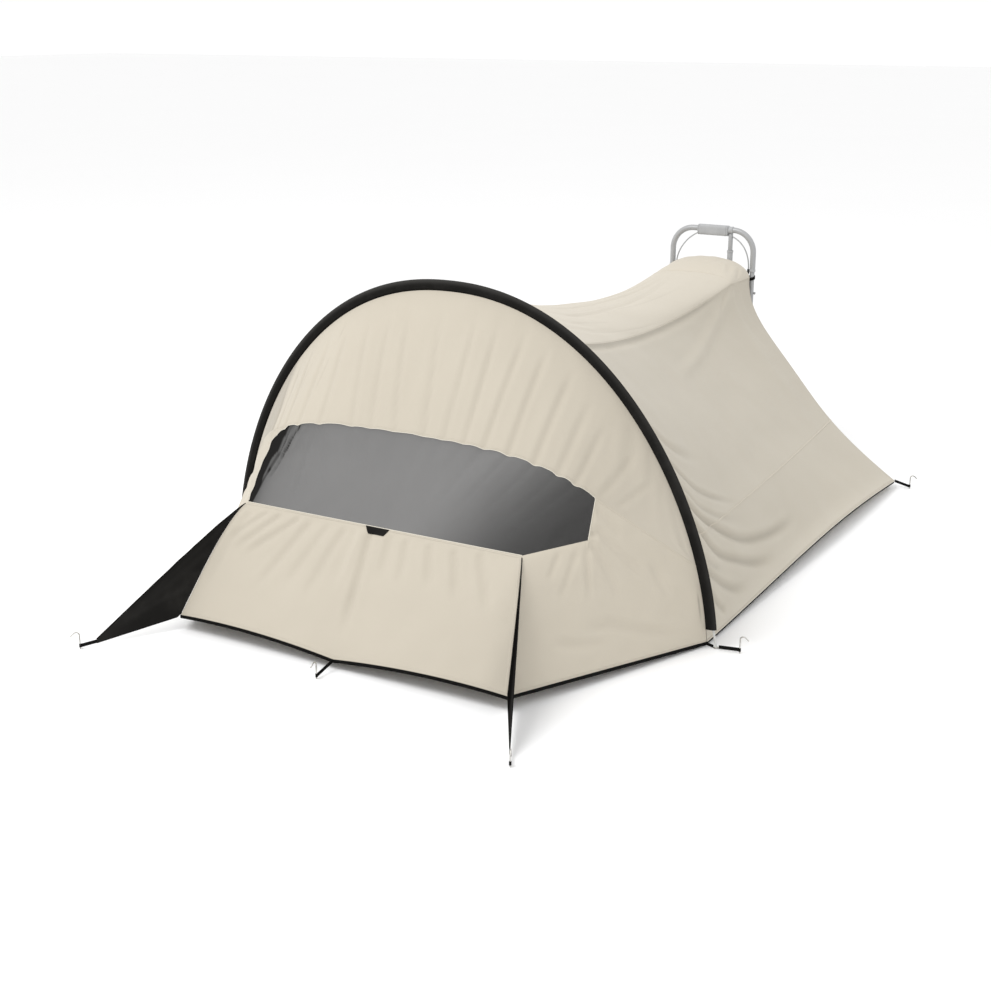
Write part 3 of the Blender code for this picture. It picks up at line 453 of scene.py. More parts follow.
def arch(t):
    t = np.asarray(t, float)
    height = ARCH_HEIGHT * np.abs(np.sin(t)) ** ARCH_Z_POWER
    return np.stack((ARCH_HALF_WIDTH * power(np.cos(t), ARCH_X_POWER), ARCH_LEAN * height, height), axis=-1)


def arch_inward(t):
    after = arch(np.minimum(t + T_STEP, math.pi - T_HEM / 2))
    before = arch(np.maximum(t - T_STEP, T_HEM / 2))
    return unit(np.cross(after - before, np.array((0.0, 1.0, -ARCH_LEAN))))


def arch_edge(t, side):
    """Where the cloth meets the sleeve: side -1 is the front panels' edge, 1 the rear panels' edge."""
    t = np.asarray(t, float)
    return arch(t) + arch_inward(t) * (SLEEVE_HALF_WIDTH + GAP) + np.array((0.0, side * SEAM_Y, 0.0))


def on_sill(across):
    return np.stack((across, np.full_like(across, SILL_CORNER[1]), np.full_like(across, SILL_CORNER[2])),
                    axis=-1)


def sill_point(t):
    share = np.minimum(np.abs(arch(t)[..., 0]) / arch(T_WINDOW_LOW)[0], 1.0)
    return on_sill(SILL_CORNER[0] * (1.0 - (1.0 - share) ** SILL_CURVE) * np.sign(np.cos(t)))


def front_line(t, share):
    return lerp(sill_point(t), arch(t), share)


def window_rise(t):
    away = np.abs(T_TOP - t) / (T_TOP - T_WINDOW_HIGH)
    return WINDOW_RISE_MIDDLE + (WINDOW_RISE_END - WINDOW_RISE_MIDDLE) * away ** WINDOW_RISE_POWER


WINDOW_END_LOW = front_line(np.array(T_WINDOW_LOW), WINDOW_RISE_LOW)
WINDOW_END_HIGH = front_line(np.array(T_WINDOW_HIGH), window_rise(T_WINDOW_HIGH))
HOOD_SEAM_END = arch_edge(T_HOOD_SEAM - HOOD_SEAM_CLEAR, -1)


def on_both_halves(right_half, t):
    """Points of a curve that is given for the right half of the arch, on both halves."""
    t = np.asarray(t, float)
    points = right_half(np.minimum(t, math.pi - t))
    return np.where((t > T_TOP)[..., None], mirrored(points), points)


def over_window(near, beside):
    """The window's upper edge above its two ends' tops, and the given line beside it."""
    over = np.maximum(near, T_WINDOW_HIGH)
    return np.where((near >= T_WINDOW_HIGH)[..., None], front_line(over, window_rise(over)), beside)


def window_top(t):
    def right_half(near):
        risen = (near - T_WINDOW_LOW) / (T_WINDOW_HIGH - T_WINDOW_LOW)
        return over_window(near, lerp(WINDOW_END_LOW, WINDOW_END_HIGH, risen))
    return on_both_halves(right_half, t)


def hood_foot(t):
    def right_half(near):
        share = np.clip((T_WINDOW_HIGH - near) / (T_WINDOW_HIGH - T_HOOD_SEAM), 0.0, 1.0)
        return over_window(near, lerp(WINDOW_END_HIGH, HOOD_SEAM_END, share ** HOOD_SEAM_POWER))
    return on_both_halves(right_half, t)


def window_sill(t):
    share = (T_TOP - np.asarray(t, float)) / (T_TOP - T_WINDOW_LOW)
    return on_sill(SILL_CORNER[0] * (np.sin(share * math.pi / 2) * SILL_SPREAD + share * (1.0 - SILL_SPREAD)))


def roof_seam(share):
    share = np.asarray(share, float)
    sag = 4.0 * share * (1.0 - share) * (1.0 + ROOF_SAG_SKEW * (2.0 * share - 1.0))
    end = np.array((CAP_HALF, CAP_FRONT_Y, CAP_FRONT_Z))
    return lerp(arch_edge(T_ROOF, 1), end, share) - sag[..., None] * np.array((ROOF_BOW, 0.0, ROOF_SAG))


def cap_section(angle, y, foot_z, rise):
    across = CAP_HALF * power(np.cos(angle), CAP_POWER)
    up = foot_z + rise * power(np.sin(angle), CAP_POWER)
    return np.stack(np.broadcast_arrays(across, y, up), axis=-1)


def cap_seam(angle):
    return cap_section(angle, CAP_FRONT_Y, CAP_FRONT_Z, CAP_FRONT_RISE)


def cap_surface(angle, share):
    part = np.clip(share / CREST_SHARE, 0.0, 1.0)
    turn = np.clip((share - CREST_SHARE) / (1.0 - CREST_SHARE), 0.0, 1.0) * math.pi / 2
    before = share <= CREST_SHARE
    y = np.where(before, CAP_FRONT_Y + (CAP_CREST_Y - CAP_FRONT_Y) * part,
                 CAP_CREST_Y + (CAP_REAR_Y - CAP_CREST_Y) * np.sin(turn))
    rise = np.where(before, CAP_FRONT_RISE + (CAP_CREST_RISE - CAP_FRONT_RISE) * np.sin(part * math.pi / 2),
                    CAP_CREST_RISE - CAP_REAR_DROP * (1.0 - np.cos(turn)))
    foot_z = CAP_FRONT_Z + (CAP_SIDE_Z - CAP_FRONT_Z) * (y - CAP_FRONT_Y) / (CAP_REAR_Y - CAP_FRONT_Y)
    return cap_section(angle, y, foot_z, rise)


def rear_edge(share):
    top = np.array((CAP_HALF, CAP_REAR_Y, CAP_SIDE_Z))
    wave = REAR_EDGE_WAVE * np.sin(3.0 * math.pi * np.asarray(share, float))
    line = lerp(lerp(REAR_CORNER, REAR_EDGE_PULL, share), lerp(REAR_EDGE_PULL, top, share), share)
    return line - wave[..., None] * np.array((1.0, 0.0, 0.0))


def side_seam(share):
    share = np.asarray(share, float)
    line = lerp(arch_edge(T_SIDE_SEAM, 1), rear_edge(1.0 - SIDE_SEAM_REAR), share)
    return line - (SIDE_SEAM_SAG * 4.0 * share * (1.0 - share))[..., None] * UP


def side_top(share):
    share = np.asarray(share, float)
    along_roof = roof_seam(np.minimum(share / SIDE_ROOF_SHARE, 1.0))
    past_roof = np.maximum(share - SIDE_ROOF_SHARE, 0.0) / (1.0 - SIDE_ROOF_SHARE)
    along_cap = lerp(roof_seam(1.0), rear_edge(1.0), past_roof)
    return np.where((share <= SIDE_ROOF_SHARE)[..., None], along_roof, along_cap)


def side_hem(share):
    """Lower edge of the side wall, cut in an arch between the arch's foot and the rear peg."""
    arched = SIDE_HEM_ARCH * np.sin(math.pi * power(np.asarray(share, float), SIDE_HEM_POWER))
    return lerp(arch_edge(T_HEM, 1), REAR_CORNER, share) + arched[..., None] * UP


def front_hem(share):
    share = np.asarray(share, float)
    beside = np.abs(2.0 * share - 1.0)
    pull = (1.0 - beside) ** HEM_PULL_POWER
    y = HEM_CORNER[1] + (HEM_MIDDLE_Y - HEM_CORNER[1]) * pull
    z = HEM_CORNER[2] + (HEM_MIDDLE_Z - HEM_CORNER[2]) * pull + HEM_ARCH * 4.0 * beside * (1.0 - beside)
    return np.stack((HEM_CORNER[0] * (2.0 * share - 1.0), y, z), axis=-1)


def bulwark_hem(share):
    return lerp(HEM_CORNER, arch_edge(T_HEM, -1), share)


def bulwark_top(share):
    share = np.asarray(share, float)
    first, second = BULWARK_WINDOW_SHARE, BULWARK_UPRIGHT_SHARE
    sill = lerp(SILL_CORNER, WINDOW_END_LOW, np.clip(share / first, 0.0, 1.0))
    upright = lerp(WINDOW_END_LOW, WINDOW_END_HIGH, np.clip((share - first) / (second - first), 0.0, 1.0))
    seam = lerp(WINDOW_END_HIGH, HOOD_SEAM_END, np.clip((share - second) / (1.0 - second), 0.0, 1.0))
    points = np.where((share <= first)[..., None], sill, upright)
    return np.where((share <= second)[..., None], points, seam)


def arch_run(places, side):
    """The cloth's edge along the arch, from 0 to 1, in equal shares from place to place."""
    def at(share):
        steps = np.linspace(0.0, 1.0, len(places))
        return arch_edge(np.interp(share, steps, places), side)
    return at


def coons(bottom, top, left, right):
    """Surface between four edges that share their corners, for u across and v along."""
    def at(u, v):
        ruled = lerp(bottom(u), top(u), v) + lerp(left(v), right(v), u)
        low = lerp(bottom(0.0), bottom(1.0), u)
        high = lerp(top(0.0), top(1.0), u)
        return ruled - lerp(low, high, v)
    return at


# Panels: base surfaces with u along the panel and v from its lower or front edge

def along_arch(first, u):
    """The arch's angle at share u of a panel that runs over it from the left side to the right one."""
    return first + (math.pi - 2.0 * first) * (1.0 - u)


def hood_surface(u, v):
    t = along_arch(T_HOOD_SEAM, u)
    return lerp(hood_foot(t), arch_edge(t, -1), v)


def window_surface(u, v):
    t = along_arch(T_WINDOW_LOW, u)
    return lerp(window_sill(t), window_top(t), v)


def corner_bow(share):
    """How far the fin pulls the front corner's edge out, from the hem at 0 to the window's foot at 1."""
    outward = unit(np.array((FIN_TIP[0] - HEM_CORNER[0], FIN_TIP[1] - HEM_CORNER[1], 0.0)))
    pull = CORNER_BOW * np.sin(math.pi * power(1.0 - np.asarray(share, float), CORNER_BOW_POWER))
    return pull[..., None] * outward


flat_front_wall = coons(front_hem, lambda u: lerp(mirrored(SILL_CORNER), SILL_CORNER, u),
                        lambda v: lerp(mirrored(HEM_CORNER), mirrored(SILL_CORNER), v),
                        lambda v: lerp(HEM_CORNER, SILL_CORNER, v))
flat_bulwark = coons(bulwark_hem, bulwark_top, lambda v: lerp(HEM_CORNER, SILL_CORNER, v),
                     arch_run(BULWARK_PLACES, -1))


def front_wall_surface(u, v):
    bow = corner_bow(v)
    right, left = u ** CORNER_BOW_FADE, (1.0 - u) ** CORNER_BOW_FADE
    return flat_front_wall(u, v) + bow * right[..., None] + mirrored(bow) * left[..., None]


def bulwark_surface(u, v):
    return flat_bulwark(u, v) + corner_bow(v) * ((1.0 - u) ** CORNER_BOW_FADE)[..., None]


lower_side_surface = coons(side_hem, side_seam, arch_run(LOWER_SIDE_PLACES, 1),
                           lambda v: rear_edge(np.asarray(v) * (1.0 - SIDE_SEAM_REAR)))
upper_side_surface = coons(side_seam, side_top, arch_run(UPPER_SIDE_PLACES, 1),
                           lambda v: rear_edge(1.0 - SIDE_SEAM_REAR + np.asarray(v) * SIDE_SEAM_REAR))
roof_surface = coons(lambda u: arch_edge(math.pi - T_ROOF - (math.pi - 2.0 * T_ROOF) * np.asarray(u), 1),
                     lambda u: cap_seam(math.pi * (1.0 - np.asarray(u))),
                     lambda v: mirrored(roof_seam(v)), roof_seam)


def side_surface(u, v):
    """The whole side wall: its lower panel up to LOWER_ROWS_SHARE of v, its upper panel above."""
    low = lower_side_surface(u, np.minimum(v / LOWER_ROWS_SHARE, 1.0))
    high = upper_side_surface(u, np.maximum(v - LOWER_ROWS_SHARE, 0.0) / (1.0 - LOWER_ROWS_SHARE))
    return np.where((v <= LOWER_ROWS_SHARE)[..., None], low, high)


def cap_panel_surface(u, v):
    return cap_surface(math.pi * (1.0 - u), v)


class Panel:
    """A cut piece of cloth: points on a grid, its outward normals, and its lengths along both ways."""

    def __init__(self, surface, columns, rows, inside_z=INSIDE_Z):
        self.u, self.v = np.meshgrid(np.linspace(0.0, 1.0, columns), np.linspace(0.0, 1.0, rows))
        self.base = surface(self.u, self.v)
        across = np.gradient(self.base, axis=1)
        along = np.gradient(self.base, axis=0)
        normal = unit(np.cross(across, along))
        centre = self.base.copy()
        centre[..., 0] = 0.0
        centre[..., 1] = np.clip(centre[..., 1], INSIDE_FRONT_Y, INSIDE_REAR_Y)
        centre[..., 2] = inside_z
        away = np.sign(np.sum(normal * (self.base - centre), axis=-1).mean())
        self.normal = normal * away
        self.turned = away < 0
        self.points = self.base.copy()
        self.height = np.zeros(self.u.shape)
        self.shade = np.zeros(self.u.shape)
        self.measure()

    def measure(self):
        """Lengths in metres along the rows and up the columns, for the weave and the seams."""
        step_u = np.linalg.norm(np.diff(self.base, axis=1), axis=-1)
        step_v = np.linalg.norm(np.diff(self.base, axis=0), axis=-1)
        self.length_u = np.concatenate((np.zeros((self.base.shape[0], 1)), np.cumsum(step_u, axis=1)), axis=1)
        self.length_u -= self.length_u[:, -1:] / 2
        self.length_v = np.concatenate((np.zeros((1, self.base.shape[1])), np.cumsum(step_v, axis=0)), axis=0)

    def raise_by(self, height):
        self.points = self.points + self.normal * height[..., None]

    def at(self, u, v):
        """Points of the finished cloth at shares u and v."""
        return self.sample(self.points, u, v)

    def normal_at(self, u, v):
        return unit(self.sample(self.finished_normals(), u, v))

    def finished_normals(self):
        normal = unit(np.cross(np.gradient(self.points, axis=1), np.gradient(self.points, axis=0)))
        return -normal if self.turned else normal

    def cut(self, first, last):
        """The rows from first to last as a panel of their own."""
        part = copy.copy(self)
        for field in ("u", "v", "base", "normal", "points", "height", "shade", "length_u", "length_v"):
            setattr(part, field, getattr(self, field)[first:last + 1])
        part.v = (part.v - part.v[0, 0]) / (part.v[-1, 0] - part.v[0, 0])
        part.length_v = part.length_v - part.length_v[0]
        return part

    def sample(self, field, u, v):
        rows, columns = field.shape[:2]
        x = np.clip(np.asarray(u, float), 0.0, 1.0) * (columns - 1)
        y = np.clip(np.asarray(v, float), 0.0, 1.0) * (rows - 1)
        i = np.minimum(x.astype(int), columns - 2)
        j = np.minimum(y.astype(int), rows - 2)
        low = lerp(field[j, i], field[j, i + 1], x - i)
        high = lerp(field[j + 1, i], field[j + 1, i + 1], x - i)
        return lerp(low, high, y - j)


# Folds: ridges and hollows that run along a line on the cloth, with painted shade and painted light along
# them

def fold_line(panel, points, count=24):
    """A smooth line through the given shares (u, v) of the panel, as points on its base surface."""
    knots = np.array(points, float)
    before, after = 2.0 * knots[:1] - knots[1:2], 2.0 * knots[-1:] - knots[-2:-1]
    knots = np.concatenate((before, knots, after))
    place = np.linspace(0.0, len(knots) - 3.0, count)
    first = np.minimum(place.astype(int), len(knots) - 4)
    share = (place - first)[:, None]
    a, b, c, d = (knots[first + i] for i in range(4))
    bend = 2.0 * a - 5.0 * b + 4.0 * c - d + share * (3.0 * (b - c) + d - a)
    path = b + 0.5 * share * (c - a + share * bend)
    return panel.sample(panel.base, path[:, 0], path[:, 1])


def along_line(panel, points, ends):
    """How far each point of the panel is from a line on it, the line's share there, and its fading ends."""
    line = fold_line(panel, points)
    nearest = np.full(panel.u.shape, np.inf)
    share = np.zeros(panel.u.shape)
    starts, steps = line[:-1], np.diff(line, axis=0)
    for i, (start, step) in enumerate(zip(starts, steps)):
        away = panel.base - start
        along = np.clip(np.sum(away * step, axis=-1) / np.sum(step * step), 0.0, 1.0)
        distance = np.linalg.norm(away - along[..., None] * step, axis=-1)
        closer = distance < nearest
        nearest = np.where(closer, distance, nearest)
        share = np.where(closer, (i + along) / len(steps), share)
    fade = 1.0
    if ends[0] > 0.0:
        fade = fade * smooth(0.0, ends[0], share)
    if ends[1] > 0.0:
        fade = fade * smooth(0.0, ends[1], 1.0 - share)
    return nearest, share, fade


def add_folds(panel, folds, ends=(0.25, 0.25), flare=0.0, tone=0.05):
    """Soft folds: a hollow or ridge between two shallow opposite ones, with painted shade where it is hollow
    and painted light where it rises.
    """
    for points, width, height in folds:
        distance, share, fade = along_line(panel, points, ends)
        reach = distance / (width * (1.0 + flare * share))
        shape = (1.0 - reach ** 2) * np.exp(-reach ** 2) * fade
        panel.height += height * shape
        # The tone sets how much painted shade a hollow gets, and how much painted light a ridge gets
        panel.shade -= tone * height / (FULL_HOLLOW * width ** 2) * shape


def add_creases(panel, creases, ends=(0.15, 0.3)):
    """Thin pressed lines, a little dented where the tone is above 0 and raised where it is below, with
    painted shade along the dented ones and painted light along the raised ones.
    """
    for points, width, tone in creases:
        distance, _, fade = along_line(panel, points, ends)
        line = np.exp(-(distance / width) ** 2) * fade
        panel.shade += tone * line
        panel.height -= CREASE_DEPTH * line * np.sign(tone)


def hold_edges(panel, low=0.0, high=0.0, left=0.0, right=0.0):
    """1 inside the panel, down to 0 at the edges that are sewn, over the given widths in metres."""
    held = np.ones(panel.u.shape)
    if low:
        held *= smooth(0.0, low, panel.length_v)
    if high:
        held *= smooth(0.0, high, panel.length_v[-1:] - panel.length_v)
    if left:
        held *= smooth(0.0, left, panel.length_u - panel.length_u[:, :1])
    if right:
        held *= smooth(0.0, right, panel.length_u[:, -1:] - panel.length_u)
    return held


def sewn_round(panel, width=0.02):
    return hold_edges(panel, low=width, high=width, left=width, right=width)


def rumple(panel, size, height, seed, stretch=(1.0, 1.0)):
    """Low, wide unevenness of slack cloth."""
    flat = np.stack((panel.length_u / (size * stretch[0]), panel.length_v / (size * stretch[1])), axis=-1)
    values = [noise.noise(Vector((x, y, seed))) for x, y in flat.reshape(-1, 2)]
    return height * np.array(values).reshape(panel.u.shape)


# Meshes

def add_piece(name, vertices, faces, loop_uv, finish, replaced=()):
    mesh = bpy.data.meshes.new(name)
    place = np.array(ARCH_PLACE)
    mesh.from_pydata((np.asarray(vertices) + place).tolist(), [], faces)
    layer = mesh.uv_layers.new(name="metres")
    layer.data.foreach_set("uv", np.asarray(loop_uv, np.float32).ravel())
    mesh.polygons.foreach_set("use_smooth", np.ones(len(mesh.polygons), bool))
    mesh.set_sharp_from_angle(angle=SHARP_FROM)
    mesh.materials.append(finish)
    mesh.update()
    piece = bpy.data.objects.new(name, mesh)
    bpy.context.scene.collection.objects.link(piece)
    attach(piece, "root")
    if replaced:
        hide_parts(*replaced)
    return piece


def grid_quads(rows, columns, first, flip):
    index = np.arange(rows * columns).reshape(rows, columns) + first
    quads = np.stack((index[:-1, :-1], index[:-1, 1:], index[1:, 1:], index[1:, :-1]), axis=-1).reshape(-1, 4)
    return quads[:, ::-1] if flip else quads


def give_painted_shade(piece, tones):
    """Store each point's painted shade, above 0, or painted light, below 0, which the finishes read as
    "shade".
    """
    attribute = piece.data.attributes.new("shade", "FLOAT", "POINT")
    attribute.data.foreach_set("value", np.asarray(tones).ravel().astype(np.float32))


def cloth_piece(name, panel, finish, replaced, thickness=CLOTH):
    """The panel as cloth: an outer face, an inner face and the cut edges between them."""
    rows, columns = panel.u.shape
    outer = panel.points.reshape(-1, 3)
    inner = outer - panel.finished_normals().reshape(-1, 3) * thickness
    count = rows * columns
    index = np.arange(count).reshape(rows, columns)
    rim = np.concatenate((index[0, :], index[1:, -1], index[-1, -2::-1], index[-2:0:-1, 0]))
    following = np.roll(rim, -1)
    sides = np.stack((following, rim, rim + count, following + count), axis=-1)
    if panel.turned:
        sides = sides[:, ::-1]
    faces = np.concatenate((grid_quads(rows, columns, 0, panel.turned),
                            grid_quads(rows, columns, count, not panel.turned), sides))
    uv = np.stack((panel.length_u.ravel(), panel.length_v.ravel()), axis=-1)
    loop_uv = np.concatenate((uv, uv))[faces.ravel()]
    piece = add_piece(name, np.concatenate((outer, inner)), faces.tolist(), loop_uv, finish, replaced)
    give_painted_shade(piece, np.tile(panel.shade.ravel(), 2))
    return piece


def loft(name, rings, finish, replaced=(), closed=False):
    """A closed skin over rings of points. UV: metres along, and metres round from each ring's first point."""
    rings = np.asarray(rings, float)
    count, around = rings.shape[:2]
    if closed:
        rings = np.concatenate((rings, rings[:1]))
    centres = rings.mean(axis=1)
    along = np.concatenate(((0.0,), np.cumsum(np.linalg.norm(np.diff(centres, axis=0), axis=-1))))
    round_steps = np.linalg.norm(np.roll(rings, -1, axis=1) - rings, axis=-1).mean(axis=0)
    round_length = np.concatenate(((0.0,), np.cumsum(round_steps)))
    faces, loop_uv = [], []
    for i in range(len(rings) - 1):
        following = (i + 1) % count if closed else i + 1
        for j in range(around):
            k = (j + 1) % around
            faces.append((i * around + j, i * around + k, following * around + k, following * around + j))
            loop_uv += [(along[i], round_length[j]), (along[i], round_length[j + 1]),
                        (along[i + 1], round_length[j + 1]), (along[i + 1], round_length[j])]
    if not closed:
        for end, order in ((0, -1), (count - 1, 1)):
            faces.append([end * around + j for j in range(around)][::order])
            loop_uv += [(along[end], round_length[j]) for j in range(around)]
    piece = add_piece(name, rings[:count].reshape(-1, 3), faces, loop_uv, finish, replaced)
    turn_outwards(piece)
    return piece


def turn_outwards(piece):
    bm = bmesh.new()
    bm.from_mesh(piece.data)
    bmesh.ops.recalc_face_normals(bm, faces=bm.faces[:])
    bm.to_mesh(piece.data)
    bm.free()


def path_frames(path, up=None):
    """Side and up vectors along a path, turning as little as they can, or square to a given up."""
    path = np.asarray(path, float)
    direction = unit(np.gradient(path, axis=0))
    if up is not None:
        side = unit(np.cross(direction, np.broadcast_to(up, direction.shape)))
        return side, np.cross(side, direction)
    first = Vector(direction[0]).orthogonal().normalized()
    sides = [np.array(first)]
    for step in direction[1:]:
        carried = sides[-1] - step * np.dot(sides[-1], step)
        sides.append(carried / np.linalg.norm(carried))
    side = np.array(sides)
    return side, np.cross(side, direction)


def section_rings(path, section, up=None, scale=None):
    """Rings of a section, given as (side, up) offsets, carried along the path."""
    side, over = path_frames(path, up)
    section = np.asarray(section, float)
    scale = np.ones(len(path)) if scale is None else np.asarray(scale, float)
    offset = side[:, None] * section[None, :, :1] + over[:, None] * section[None, :, 1:]
    return np.asarray(path, float)[:, None] + offset * scale[:, None, None]


def band_rings(path, section, first, second):
    """Rings of a section whose two ways are given."""
    return path[:, None] + section[None, :, :1] * first + section[None, :, 1:] * second


def circle(radius, sides):
    angle = np.arange(sides) * 2.0 * math.pi / sides
    return np.stack((radius * np.cos(angle), radius * np.sin(angle)), axis=-1)


def rounded_box(half_side, half_up, corner, sides=28):
    """A box section with rounded corners, which are the sharper the smaller the power given for them is."""
    angle = (np.arange(sides) + 0.5) * 2.0 * math.pi / sides
    return np.stack((half_side * power(np.cos(angle), corner),
                     half_up * power(np.sin(angle), corner)), axis=-1)


def tube(name, path, radius, finish, replaced=(), sides=20):
    return loft(name, section_rings(path, circle(radius, sides)), finish, replaced)


def turned(name, start, end, profile, finish, replaced=(), sides=40, bore=0.0):
    """A turned piece: radii at distances along its axis, with a bore right through it if one is given."""
    start, end = np.asarray(start, float), np.asarray(end, float)
    axis = unit(end - start)
    side = np.array(Vector(axis).orthogonal().normalized())
    over = np.cross(axis, side)
    angle = np.arange(sides) * 2.0 * math.pi / sides
    spokes = np.cos(angle)[:, None] * side + np.sin(angle)[:, None] * over
    rings = [start + axis * distance + spokes * radius for distance, radius in profile]
    if bore:
        rings += [start + axis * profile[-1][0] + spokes * bore, start + axis * profile[0][0] + spokes * bore]
    return loft(name, rings, finish, replaced, closed=bool(bore))


def seam_strip(name, panel, edge, width, finish, span=(0.0, 1.0), lift=STRIP_LIFT):
    """A raised strip of doubled cloth along one edge of a panel."""
    along_row = edge in ("low", "high")
    length = panel.length_u[0, -1] - panel.length_u[0, 0] if along_row else panel.length_v[-1, 0]
    run = np.linspace(*span, max(8, int(length * (span[1] - span[0]) / STRIP_STEP)))
    if along_row:
        depth = np.interp(run, panel.u[0], panel.length_v[-1])
    else:
        depth = np.interp(run, panel.v[:, 0], panel.length_u[:, -1] - panel.length_u[:, 0])
    rings = []
    for share, height in STRIP_PROFILE:
        inside = width * share / depth
        if edge in ("high", "right"):
            inside = 1.0 - inside
        place = (run, inside) if along_row else (inside, run)
        rise = height * lift if height > 0 else STRIP_ROOT
        rings.append(panel.at(*place) + panel.normal_at(*place) * rise)
    return loft(name, np.stack(rings, axis=1), finish)


# Finishes

class Value:
    """A number worked out at each point of a surface. Arithmetic on it adds the Math nodes."""

    def __init__(self, finish, socket):
        self.finish = finish
        self.socket = socket

    def math(self, operation, *others):
        return self.finish.node("ShaderNodeMath", {"operation": operation}, dict(enumerate((self,) + others)))

    def reflected(self, operation, other):
        return self.finish.node("ShaderNodeMath", {"operation": operation}, {0: other, 1: self})

    def __add__(self, other):
        return self.math("ADD", other)

    __radd__ = __add__

    def __sub__(self, other):
        return self.math("SUBTRACT", other)

    def __rsub__(self, other):
        return self.reflected("SUBTRACT", other)

    def __mul__(self, other):
        return self.math("MULTIPLY", other)

    __rmul__ = __mul__

    def __truediv__(self, other):
        return self.math("DIVIDE", other)

    def __lt__(self, other):
        return self.math("LESS_THAN", other)

    def within(self, low, high):
        """0 below low, 1 above high, and a smooth step between them."""
        return self.finish.node("ShaderNodeMapRange", {"interpolation_type": "SMOOTHSTEP"},
                                {"Value": self, "From Min": low, "From Max": high})


class Finish:
    """A material whose surface is worked out by nodes."""

    def __init__(self, name, roughness=0.6, metallic=0.0, fixed=None):
        self.material = bpy.data.materials.new(name)
        self.material.use_nodes = True
        self.tree = self.material.node_tree
        self.shader = self.tree.nodes["Principled BSDF"]
        self.shader.inputs["Roughness"].default_value = roughness
        self.shader.inputs["Metallic"].default_value = metallic
        for socket, value in (fixed or {}).items():
            self.shader.inputs[socket].default_value = value

    def node(self, kind, settings=None, inputs=None, output=0):
        made = self.tree.nodes.new(kind)
        for key, value in (settings or {}).items():
            setattr(made, key, value)
        for key, value in (inputs or {}).items():
            if isinstance(value, Value):
                self.tree.links.new(value.socket, made.inputs[key])
            else:
                made.inputs[key].default_value = value
        return Value(self, made.outputs[output])

    def feed(self, socket, value):
        self.tree.links.new(value.socket, self.shader.inputs[socket])

    def metres(self):
        """The place on the piece, as lengths along and across it in metres."""
        return self.node("ShaderNodeUVMap", {"uv_map": "metres"})

    def lengths(self, place):
        along = self.node("ShaderNodeSeparateXYZ", None, {0: place})
        return along, Value(self, along.socket.node.outputs[1])

    def space(self):
        """The place in the object's own space."""
        return self.node("ShaderNodeTexCoord", None, None, "Object")

    def shade(self):
        """The panel's painted shade: above 0 in its hollows and creases, below 0 where light is painted on
        its ridges.
        """
        return self.node("ShaderNodeAttribute", {"attribute_name": "shade"}, None, "Fac")

    def noise(self, place, scale, detail=2.0, roughness=0.5):
        return self.node("ShaderNodeTexNoise", None,
                         {"Vector": place, "Scale": scale, "Detail": detail, "Roughness": roughness})

    def streaks(self, place, scale, detail=2.0):
        """Noise drawn out one way: the scale is given for each axis."""
        drawn_out = self.node("ShaderNodeMapping", None, {"Vector": place, "Scale": scale})
        return self.noise(drawn_out, scale=1.0, detail=detail)

    def mix(self, share, first, second):
        inputs = {0: share, 6: colour_of(first), 7: colour_of(second)}
        return self.node("ShaderNodeMix", {"data_type": "RGBA"}, inputs, 2)

    def shaded(self, colour, hollow, ridge):
        """The colour with painted shade and light: towards the hollow's colour where the shade is above 0,
        and towards the ridge's, a painted highlight, where it is below.
        """
        shade = self.shade()
        colour = self.mix(shade.math("MAXIMUM", 0.0), colour, hollow)
        return self.mix((0.0 - shade).math("MAXIMUM", 0.0), colour, ridge)

    def bump(self, height, distance, strength):
        inputs = {"Height": height, "Distance": distance, "Strength": strength}
        self.feed("Normal", self.node("ShaderNodeBump", None, inputs))


def colour_of(value):
    return value if isinstance(value, Value) else (*value, 1.0)


def wave(length, pitch):
    """A thread's height at a length across it, from 0 to 1."""
    return (length * (2.0 * math.pi / pitch)).math("SINE") * 0.5 + 0.5


def weave(along, across, pitch):
    """Threads that pass over and under each other in a slanting order: 0 in the gaps, 1 on the threads."""
    turns = 2.0 * math.pi / pitch
    warp = (along * turns).math("SINE")
    weft = (across * turns).math("SINE")
    slant = ((along + across) * (turns / 2.0)).math("SINE")
    return 0.5 + 0.2 * warp + 0.15 * weft + 0.15 * slant


def stitches(along, across, rows):
    """Rows of thread at the given distances across a strip: 1 on the thread."""
    dash = (along / STITCH_PITCH).math("FRACT") < STITCH_SHARE
    line = None
    for row in rows:
        on_row = (across - row).math("ABSOLUTE") < STITCH_HALF
        line = on_row if line is None else line.math("MAXIMUM", on_row)
    return dash * line


